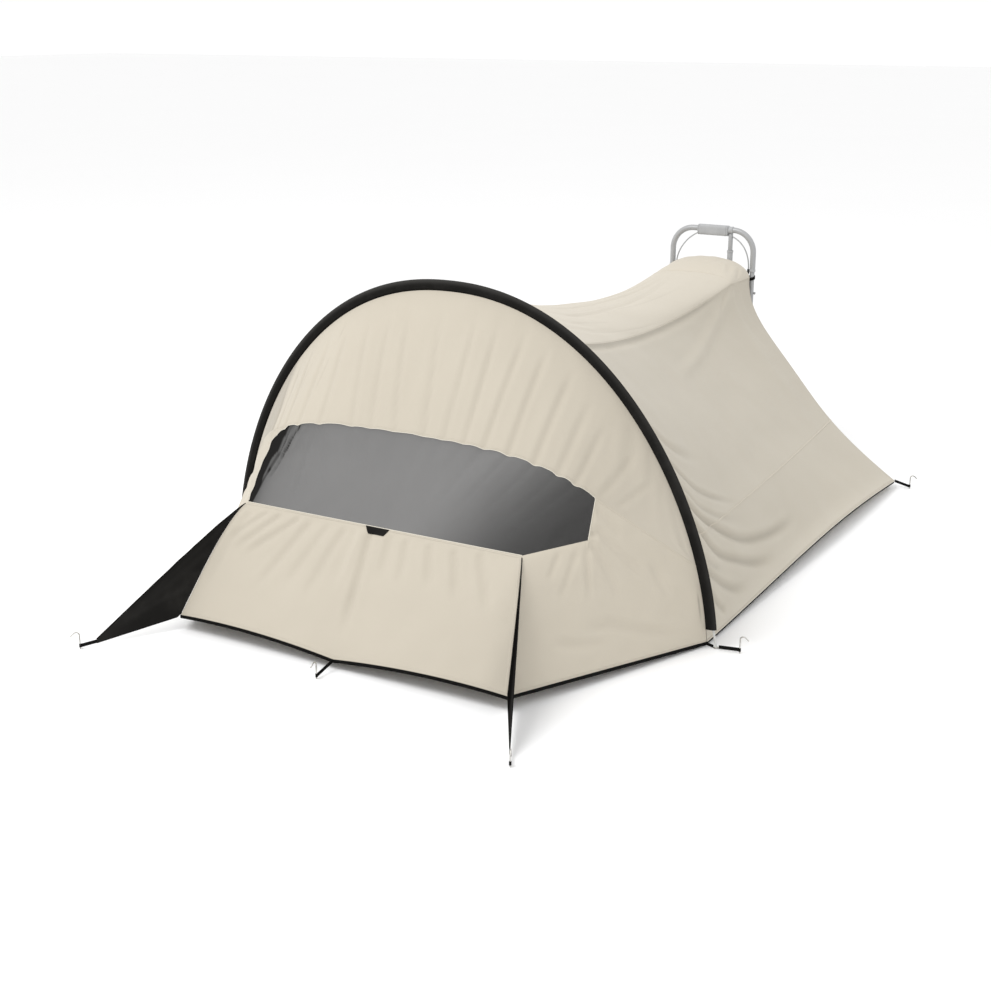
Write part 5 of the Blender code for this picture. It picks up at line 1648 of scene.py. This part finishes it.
def sleeve_painted_light_and_shade(t, angle):
    """Painted shade where the sleeve turns to the tarp and painted light where it turns up, both fading
    towards the right foot.
    """
    inner_edge = SLEEVE_INNER_PAINTED_SHADE * smooth(0.55, 1.0, np.cos(angle))
    outer_edge = SLEEVE_OUTER_PAINTED_LIGHT * smooth(0.0, 1.0, -np.cos(angle))
    faded = SLEEVE_PAINTED_LEAST + (1.0 - SLEEVE_PAINTED_LEAST) * smooth(0.2 * math.pi, 0.6 * math.pi, t)
    return faded[:, None] * (inner_edge + outer_edge)[None]


def make_sleeve():
    t = sleeve_run()
    centre, inward = arch(t), arch_inward(t)
    backward = unit(np.array((0.0, 1.0, ARCH_LEAN)))
    angle = np.arange(SLEEVE_SIDES) * 2.0 * math.pi / SLEEVE_SIDES
    wide = (SLEEVE_HALF_WIDTH + SLEEVE_SWELL) * np.cos(angle)
    thinned = 1.0 - SLEEVE_THINNED * np.maximum(np.cos(angle), 0.0) ** 2
    deep = SLEEVE_HALF_DEPTH * power(np.sin(angle), SLEEVE_BLUNTNESS) * thinned
    swell = 1.0 + WRINKLE_HEIGHT * sleeve_wrinkles(centre, angle)
    rings = (centre[:, None] + inward[:, None] * wide[None, :, None]
             + backward * (deep[None] * swell)[..., None])
    piece = loft("sleeve_cloth", rings, black_cloth, ("arch_sleeve",))
    # Painted shade and light round the sleeve
    give_painted_shade(piece, sleeve_painted_light_and_shade(t, angle))
    for edge, word in ((-1, "front"), (1, "rear")):
        line = arch_edge(t[::2], edge) + arch_inward(t[::2]) * SLEEVE_SWELL
        tube("sleeve_piping_" + word, line, PIPING_RADIUS, canvas_piping, sides=8)


def make_pole():
    t = sleeve_run()[::4]
    inside = arch(t) - arch_inward(t) * POLE_OFFSET
    tip = np.array(POLE_TIP)
    share = np.linspace(0.0, 0.95, 12)
    path = np.concatenate((lerp(tip, inside[0], share), inside, lerp(mirrored(tip), inside[-1], share)[::-1]))
    tube("pole_rod", path, POLE_RADIUS, pole_glass, ("arch_pole",), sides=16)


def out_of_hem(points):
    """The level way out of the front hem, which turns outwards towards its corners."""
    turn = np.clip(points[:, 0] / HEM_CORNER[0], -1.0, 1.0)
    return unit(np.stack((HEM_OUT[0] * turn, np.full_like(turn, HEM_OUT[1]), np.zeros_like(turn)), axis=-1))


def make_hem_band():
    lean = (SILL_CORNER - HEM_CORNER)[2] / np.linalg.norm(SILL_CORNER - HEM_CORNER)
    right = bulwark_hem(np.linspace(0.0, 1.0, 120))
    front = front_hem(np.linspace(0.0, 1.0, 240))
    end = np.array((POLE_TIP.x - GROMMET_RADIUS - 2.0 * GAP, 0.0, (WEBBING_WIDTH - HEM_LAP) * lean + GAP))
    path = np.concatenate((mirrored(end)[None], mirrored(right[::-1]), front[1:-1], right, end[None]))
    outward = out_of_hem(path)
    centre = path + outward * (GAP + WEBBING / 2)
    # The band reaches lower than the webbing, partly as a dark stand-in for the shadow under the hem
    centre[:, 2] -= (WEBBING_WIDTH / 2 - HEM_LAP) * lean + HEM_FOLD_AND_SHADOW
    section = rounded_box(WEBBING_WIDTH / 2 * lean + HEM_FOLD_AND_SHADOW, WEBBING / 2, FLAT_CORNER, 24)
    rings = band_rings(centre, section, UP, outward[:, None])
    rings[..., 2] = np.maximum(rings[..., 2], 0.0)
    loft("hem_band", rings, webbing, ("hem_webbing",))


def make_peg(word, place, outward):
    outward = np.array((*unit(np.asarray(outward, float)), 0.0))
    shaft = [(0.0, z) for z in np.linspace(0.0, PEG_SHAFT, 12)]
    turn = np.linspace(math.pi, PEG_HOOK_END, 20)[1:]
    hook = [(PEG_HOOK_RADIUS * (1.0 + math.cos(a)), PEG_SHAFT + PEG_HOOK_RADIUS * math.sin(a)) for a in turn]
    end = np.array(hook[-1])
    way = np.array((math.sin(PEG_HOOK_END), -math.cos(PEG_HOOK_END)))
    tail = [tuple(end + way * PEG_HOOK_TAIL * share) for share in PEG_TAIL_SHARES]
    flat = np.array(shaft + hook + tail)
    path = np.array((place[0], place[1], 0.0)) + outward * flat[:, :1] + UP * flat[:, 1:]
    scale = np.ones(len(path))
    scale[-2:] = PEG_TIP_SCALES
    rings = section_rings(path, circle(PEG_RADIUS, 16), scale=scale)
    loft(f"peg_{word}_wire", rings, peg_wire, ("peg_" + word,))


def make_strap(word, start, place):
    """A band on edge that runs to the peg, round it and back."""
    centre = np.array((place[0], place[1], STRAP_EYE_Z))
    start = np.asarray(start, float)
    away = np.array((start[0] - centre[0], start[1] - centre[1], 0.0))
    towards = unit(away)
    side = np.array((-towards[1], towards[0], 0.0))
    reach = PEG_RADIUS + GAP + STRAP_THICKNESS / 2
    half = STRAP_THICKNESS / 2 + STRAP_LAYERS_APART
    angle = np.linspace(STRAP_EYE_OPENING, 2.0 * math.pi - STRAP_EYE_OPENING, 26)
    eye = centre + reach * (np.cos(angle)[:, None] * towards + np.sin(angle)[:, None] * side)
    near = centre + towards * (reach + STRAP_NECK)
    leave, back = near + side * half, near - side * half
    share = np.linspace(0.0, 1.0, 8)
    there = lerp(start + side * half, leave, share)
    path = np.concatenate((there, eye, lerp(back, start - side * half, share)))
    across = path_frames(path, UP)[0]
    section = rounded_box(STRAP_THICKNESS / 2, WEBBING_WIDTH / 2, FLAT_CORNER, 20)
    rings = band_rings(path, section, across[:, None], UP)
    loft(f"strap_{word}_band", rings, webbing, ("strap_" + word,))


def make_ring(side, word):
    """The ring in the webbing that an end of the arch pole stands in."""
    foot = np.array((side * POLE_TIP.x, 0.0, 0.0))
    profile = [(0.0, 0.0078), (0.0004, 0.0087), (0.0010, GROMMET_RADIUS), (0.0020, GROMMET_RADIUS),
               (0.0026, 0.0086), (0.0030, 0.0076)]
    turned("grommet_ring_" + word, foot, foot + UP, profile, peg_wire, ("grommet_" + word,),
           bore=GROMMET_BORE)


def make_anchor(word, start, place, outward):
    make_peg(word, place, outward)
    make_strap(word, start, place)


def make_anchors():
    hem = front_hem(0.5)
    front = (0.0, hem[1] - WEBBING - 2.0 * GAP, hem[2] - FRONT_STRAP_DROP)
    make_anchor("front", front, FRONT_PEG, (0.0, -1.0))
    for side, word in SIDES:
        flip = np.array((side, 1.0, 1.0))
        out = (side, 0.0)
        arch_ring = (side * (POLE_TIP.x + GROMMET_RADIUS + GAP), 0.0, ARCH_STRAP_Z)
        fin_tip = FIN_TIP * flip - UP * FIN_STRAP_DROP
        make_anchor("fin_" + word, fin_tip, FIN_PEG * flip[:2], FIN_PEG_OUT * flip[:2])
        make_anchor("arch_" + word, arch_ring, ARCH_PEG * flip[:2], out)
        make_anchor("rear_" + word, REAR_CORNER * flip, REAR_PEG * flip[:2], out)
        make_ring(side, word)


# Rear frame

def rounded_profile(length, radius, lip):
    """Radii along a bar whose two ends are rounded off by a small lip."""
    return [(0.0, radius - lip), (lip * 0.3, radius - lip * 0.3), (lip, radius),
            (length - lip, radius), (length - lip * 0.3, radius - lip * 0.3), (length, radius - lip)]


def bar(name, start, end, radius, finish, node, lip=0.0012, sides=36):
    start, end = np.asarray(start, float), np.asarray(end, float)
    turned(name, start, end, rounded_profile(float(np.linalg.norm(end - start)), radius, lip), finish,
           (node,), sides)


def make_bow():
    turn = np.linspace(0.0, math.pi / 2, 24)
    across = BOW_HALF - BOW_CORNER + BOW_CORNER * np.cos(turn)
    up = BOW_TOP - BOW_CORNER + BOW_CORNER * np.sin(turn)
    upright = np.linspace(LEG_JOINT_Z, BOW_TOP - BOW_CORNER, 8)[:-1]
    right = np.concatenate((np.stack((np.full_like(upright, BOW_HALF), upright), axis=-1),
                            np.stack((across, up), axis=-1)))
    left = right[::-1] * np.array((-1.0, 1.0))
    level = np.linspace(BOW_HALF - BOW_CORNER, BOW_CORNER - BOW_HALF, 12)[1:-1]
    middle = np.stack((level, np.full_like(level, BOW_TOP)), axis=-1)
    flat = np.concatenate((right, middle, left))
    path = np.stack((flat[:, 0], np.full(len(flat), FRAME_Y), flat[:, 1]), axis=-1)
    tube("bow_tube", path, BOW_RADIUS, grey_tube, ("handle_bow",), sides=32)


def make_grip():
    """The moulded grip: grooves for the fingers below, a rim near each end and rounded ends."""
    angle = (np.arange(GRIP_SIDES) + 0.5) * 2.0 * math.pi / GRIP_SIDES
    rings = []
    for share in np.linspace(-1.0, 1.0, 241):
        from_rim = (abs(share) - GRIP_RIM_AT) / GRIP_RIM_SPREAD
        taper = GRIP_END_TAPER * smooth(GRIP_END_FROM, 1.0, abs(share))
        end = 1.0 - taper - GRIP_RIM_DEPTH * math.exp(-from_rim ** 2)
        from_groove = (share * GRIP_GROOVES) % 1.0 - 0.5
        groove = GRIP_GROOVE_DEPTH * math.exp(-from_groove ** 2 / GRIP_GROOVE_SPREAD)
        groove *= abs(share) < GRIP_GROOVED
        reach = np.where(np.sin(angle) > 0, GRIP_UP, GRIP_DOWN * (1.0 - groove))
        y = GRIP_HALF_DEPTH * power(np.cos(angle), GRIP_CORNER) * end
        z = reach * power(np.sin(angle), GRIP_CORNER) * end
        rings.append(np.stack((np.full_like(y, share * GRIP_HALF_LENGTH), FRAME_Y + y, BOW_TOP + z), axis=-1))
    loft("grip_body", rings, grip_plastic, ("handle_grip",))


def make_post():
    place = np.array((POST_X, FRAME_Y, 0.0))
    level = np.array((1.0, 0.0, 0.0))
    tee = place + UP * BOW_TOP - level * (TEE_LENGTH / 2)
    profile = [(0.0, 0.0148), (0.0008, 0.0160), (0.002, TEE_RADIUS), (0.0045, TEE_RADIUS), (0.005, 0.0158),
               (0.017, 0.0158), (0.0175, TEE_RADIUS), (0.020, TEE_RADIUS), (0.0212, 0.0160), (0.022, 0.0148)]
    turned("tee_body", tee, tee + level, profile, grip_plastic, ("tee_collar",))
    ring_top = POST_JOINT_Z + POST_RING_HEIGHT / 2
    ring_low = POST_JOINT_Z - POST_RING_HEIGHT / 2
    bar("post_tube_upper", place + UP * ring_top, place + UP * (BOW_TOP - TEE_RADIUS), POST_UPPER_RADIUS,
        grey_tube, "post_upper")
    bar("post_tube_ring", place + UP * ring_low, place + UP * ring_top, POST_RING_RADIUS, grip_plastic,
        "post_ring")
    bar("post_tube_lower", place + UP * (CROSSBAR_Z + CROSSBAR_RADIUS), place + UP * ring_low,
        POST_LOWER_RADIUS, grey_tube, "post_lower")


def make_bars():
    reach = BOW_HALF - LEG_RADIUS
    bar("crossbar_tube", (-reach, FRAME_Y, CROSSBAR_Z), (reach, FRAME_Y, CROSSBAR_Z), CROSSBAR_RADIUS,
        grey_tube, "lower_crossbar")
    angle = np.linspace(0.0, math.pi, 73)
    top = CAP_SIDE_Z + CAP_CREST_RISE - CLOTH - CAP_BAR_RADIUS - CAP_BAR_CLEAR
    x = CAP_BAR_HALF * power(np.cos(angle), CAP_POWER)
    z = CAP_BAR_END_Z + (top - CAP_BAR_END_Z) * np.abs(np.sin(angle)) ** CAP_POWER
    y = CAP_CREST_Y + (CAP_BAR_END_Y - CAP_CREST_Y) * (1.0 - np.sin(angle)) ** 2
    path = np.stack((x, y, z), axis=-1)
    tube("cap_rest", path, CAP_BAR_RADIUS, grey_tube, ("cap_bar",), sides=20)


def make_knob(foot, side, word):
    outward = np.array((side, 0.0, 0.0))
    start = foot + outward * LEG_RADIUS + UP * KNOB_Z
    profile = [(0.0, 0.0042), (0.0025, 0.0042), (0.003, 0.0056), (0.0036, KNOB_RADIUS), (0.0075, KNOB_RADIUS),
               (0.0090, 0.0052), (0.0098, 0.0034), (KNOB_LENGTH, 0.0012)]
    turned("knob_" + word, start, start + outward, profile, grip_plastic,
           ("lock_knob_" + word,))


def lug_place(side, z):
    return np.array((side * (BOW_HALF - COLLAR_RADIUS - GAP - LUG_SIZE[0] / 2), FRAME_Y, z))


def make_lug(side, word):
    heights = np.array((0.0, 0.0008, 0.002, 0.011, 0.0195, 0.0212, LUG_SIZE[2]))
    scale = np.array((0.82, 0.95, 1.0, 1.0, 1.0, 0.93, 0.75))
    path = lug_place(side, LEG_JOINT_Z - LUG_SIZE[2]) + UP * heights[:, None]
    section = rounded_box(LUG_SIZE[0] / 2, LUG_SIZE[1] / 2, LUG_CORNER)
    rings = section_rings(path, section, up=np.array((0.0, 1.0, 0.0)), scale=scale)
    loft("lug_" + word, rings, black_rubber, ("cable_lug_" + word,))


def make_leg(side, word):
    foot = np.array((side * BOW_HALF, FRAME_Y, 0.0))
    profile = [(0.0, 0.0125), (0.0012, 0.0142), (0.003, FOOT_RADIUS), (0.008, FOOT_RADIUS), (0.009, 0.0138),
               (0.011, 0.0138), (0.012, FOOT_RADIUS), (0.017, FOOT_RADIUS), (0.018, 0.0138), (0.020, 0.0138),
               (0.021, FOOT_RADIUS), (0.027, 0.0142), (0.0293, 0.0130), (FOOT_HEIGHT, 0.0118)]
    turned("foot_cap_" + word, foot, foot + UP, profile, black_rubber, ("leg_foot_" + word,))
    bar("leg_tube_" + word, foot + UP * FOOT_HEIGHT, foot + UP * LEG_JOINT_Z, LEG_RADIUS, grey_tube,
        "leg_" + word)
    collar_low = foot + UP * (LEG_JOINT_Z - COLLAR_HEIGHT)
    bar("leg_ring_" + word, collar_low, collar_low + UP * COLLAR_HEIGHT, COLLAR_RADIUS, grip_plastic,
        "leg_collar_" + word)
    make_knob(foot, side, word)
    make_lug(side, word)
    make_leg_strap(foot, side, word)
    make_leg_strap_tail(foot, side, word)


def make_leg_strap(foot, side, word):
    """Webbing wound slanting round the leg."""
    share = np.linspace(0.0, 1.0, 90)
    angle = math.pi * (LEG_BAND_START - 2.0 * LEG_BAND_TURNS * share)
    reach = LEG_BAND_REACH + LEG_BAND_GROWTH * share
    wound = np.stack((foot[0] + side * reach * np.cos(angle), foot[1] + reach * np.sin(angle),
                      LEG_STRAP_Z + LEG_BAND_SLANT * (0.5 - share)), axis=-1)
    section = rounded_box(LEG_BAND_THICKNESS / 2, LEG_BAND_HALF, FLAT_CORNER, 20)
    rings = section_rings(wound, section, up=UP)
    loft("leg_band_" + word, rings, webbing, ("leg_strap_" + word,))


def make_leg_strap_tail(foot, side, word):
    """The strap's end, which hangs inside the leg beside the cloth."""
    share = np.linspace(0.0, 1.0, 30)
    sway = LEG_TAIL_SWAY * np.sin(share * math.pi * LEG_TAIL_SWAY_TURN)
    hang = np.stack((foot[0] - side * (LEG_BAND_REACH + LEG_TAIL_OUT) - side * sway,
                     FRAME_Y - LEG_TAIL_FORWARD - LEG_TAIL_LEAN * share,
                     LEG_STRAP_Z + LEG_TAIL_RISE - LEG_TAIL_LENGTH * share), axis=-1)
    section = rounded_box(LEG_TAIL_THICKNESS / 2, LEG_TAIL_HALF, FLAT_CORNER, 20)
    rings = section_rings(hang, section, up=np.array((0.0, 1.0, 0.0)))
    loft("leg_band_tail_" + word, rings, webbing)


def cable_head(side):
    """Where a cable leaves the grip's end, on the left, or the post, on the right."""
    if side > 0:
        return np.array((POST_X + POST_UPPER_RADIUS + GAP, FRAME_Y, BOW_TOP - CABLE_POST_DROP))
    return np.array((-GRIP_HALF_LENGTH - GAP, FRAME_Y, BOW_TOP - CABLE_GRIP_DROP))


def bezier(a, b, c, d):
    share = np.linspace(0.0, 1.0, 60)
    first, second, third = lerp(a, b, share), lerp(b, c, share), lerp(c, d, share)
    return lerp(lerp(first, second, share), lerp(second, third, share), share)


def make_cable(side, word):
    head = cable_head(side)
    foot = lug_place(side, LEG_JOINT_Z + GAP)
    out = np.array((side, 0.0, 0.0))
    start, end = head + out * CABLE_END_STRAIGHT, foot + UP * CABLE_END_STRAIGHT
    second, third = start + out * CABLE_OUT - UP * CABLE_DROP, end + UP * CABLE_RISE
    path = np.concatenate((head[None], bezier(start, second, third, end), foot[None]))
    piece = tube("cable_" + word, path, CABLE_RADIUS, cable_plastic,
                 ("release_cable_" + word,), sides=16)


# Seams and hems

def make_front_seams(hood, wall):
    seam_strip("seam_window_top", hood, "low", WINDOW_SEAM_WIDTH, canvas_seam, span=HOOD_OVER_WINDOW)
    seam_strip("seam_window_sill", wall, "high", SILL_SEAM_WIDTH, canvas_seam)
    seam_strip("seam_front_hem", wall, "low", HEM_WIDTH, canvas_hem)
    for word in ("left", "right"):
        seam_strip("seam_corner_" + word, wall, word, SEAM_WIDTH, canvas_seam)


def make_side_seams(bulwark, upper, lower, word):
    seam_strip("seam_bulwark_hem_" + word, bulwark, "low", HEM_WIDTH, canvas_hem)
    seam_strip("seam_bulwark_top_" + word, bulwark, "high", FINE_SEAM_WIDTH, canvas_wing_painted_light,
               span=(BULWARK_UPRIGHT_SHARE, 1.0), lift=FINE_SEAM_LIFT)
    seam_strip("seam_roof_" + word, upper, "high", SEAM_WIDTH, canvas_seam)
    seam_strip("seam_side_" + word, upper, "low", FINE_SEAM_WIDTH, side_seam_painted_light_cloth, lift=FINE_SEAM_LIFT)
    seam_strip("seam_side_hem_" + word, lower, "low", HEM_WIDTH, side_hem_cloth)
    for panel, level in ((upper, "upper"), (lower, "lower")):
        seam_strip(f"seam_rear_{level}_{word}", panel, "right", HEM_WIDTH, side_hem_cloth)


def make_cap_seams(cap):
    seam_strip("seam_cap_front", cap, "low", FINE_SEAM_WIDTH, canvas_roof_painted_light, lift=FINE_SEAM_LIFT)
    seam_strip("seam_cap_rear", cap, "high", HEM_WIDTH, canvas_hem)


def make_rolled_edges(window):
    """Fine pale rolls along the window's top, beside the lap, and along its sill."""
    top = np.linspace(WINDOW_LAP_U[-1], 1.0, 400)
    sill = np.linspace(0.0, 1.0, 400)
    for word, u, v in (("top", top, np.ones_like(top)), ("sill", sill, np.zeros_like(sill))):
        line = window.at(u, v) + window.normal_at(u, v) * ROLL_LIFT
        tube("window_roll_" + word, line, ROLL_RADIUS, canvas_piping, sides=8)


hood_panel = make_hood()
window_panel = make_window(hood_panel)
wall_panel = make_front_wall()
bulwark_panels = {word: make_bulwark(side, word) for side, word in SIDES}
make_roof()
cap_panel = make_cap()
side_panels = {word: make_side_walls(side, word) for side, word in SIDES}
make_front_seams(hood_panel, wall_panel)
for _, word in SIDES:
    make_side_seams(bulwark_panels[word], *side_panels[word], word)
make_cap_seams(cap_panel)
make_rolled_edges(window_panel)
for side, word in SIDES:
    make_fin(side, word)
make_window_tab(wall_panel)
make_window_lap(window_panel)
make_sleeve()
make_pole()
make_hem_band()
make_anchors()
make_bow()
make_grip()
make_post()
make_bars()
for side, word in SIDES:
    make_leg(side, word)
    make_cable(side, word)


# Floor, light and camera

def floor_finish():
    """Pale studio floor with a barely uneven tone."""
    paint = Finish("pale_floor", roughness=0.9, fixed={"Specular IOR Level": 0.1})
    cloud = paint.noise(paint.space(), 0.6, 2.0)
    paint.feed("Base Color", paint.mix(cloud, FLOOR_DARK, FLOOR_LIGHT))
    paint.feed("Roughness", 0.85 + 0.1 * cloud)
    return paint.material


def make_floor():
    mesh = bpy.data.meshes.new("studio_floor")
    corners = [(x * FLOOR_REACH, y * FLOOR_REACH, 0.0) for x, y in ((-1, -1), (1, -1), (1, 1), (-1, 1))]
    mesh.from_pydata(corners, [], [(0, 1, 2, 3)])
    mesh.materials.append(floor_finish())
    floor = bpy.data.objects.new("studio_floor", mesh)
    bpy.context.scene.collection.objects.link(floor)


def make_lamp():
    lamp = bpy.data.lights.new("high_light", "AREA")
    lamp.shape = "DISK"
    lamp.size = LAMP_SIZE
    lamp.energy = LAMP_WATTS
    holder = bpy.data.objects.new("high_light", lamp)
    holder.location = LAMP_PLACE
    holder.rotation_mode = "QUATERNION"
    holder.rotation_quaternion = (Vector(LAMP_AIM) - Vector(LAMP_PLACE)).to_track_quat("-Z", "Y")
    bpy.context.scene.collection.objects.link(holder)


def make_studio():
    world = bpy.data.worlds.new("studio_light")
    world.use_nodes = True
    sky = world.node_tree.nodes["Background"]
    sky.inputs["Color"].default_value = (1.0, 1.0, 1.0, 1.0)
    sky.inputs["Strength"].default_value = SKY_STRENGTH
    bpy.context.scene.world = world
    bpy.context.scene.view_settings.view_transform = "Standard"
    make_lamp()


def make_camera():
    data = bpy.data.cameras.new("photo_camera")
    data.sensor_width = SENSOR_MM
    data.lens = FOCAL_PIXELS / IMAGE_PIXELS * SENSOR_MM
    camera = bpy.data.objects.new("photo_camera", data)
    camera.location = CAMERA_PLACE + ARCH_PLACE
    camera.rotation_euler = (math.pi / 2 - CAMERA_PITCH, 0.0, -CAMERA_YAW)
    bpy.context.scene.collection.objects.link(camera)
    bpy.context.scene.camera = camera


make_floor()
make_studio()
make_camera()
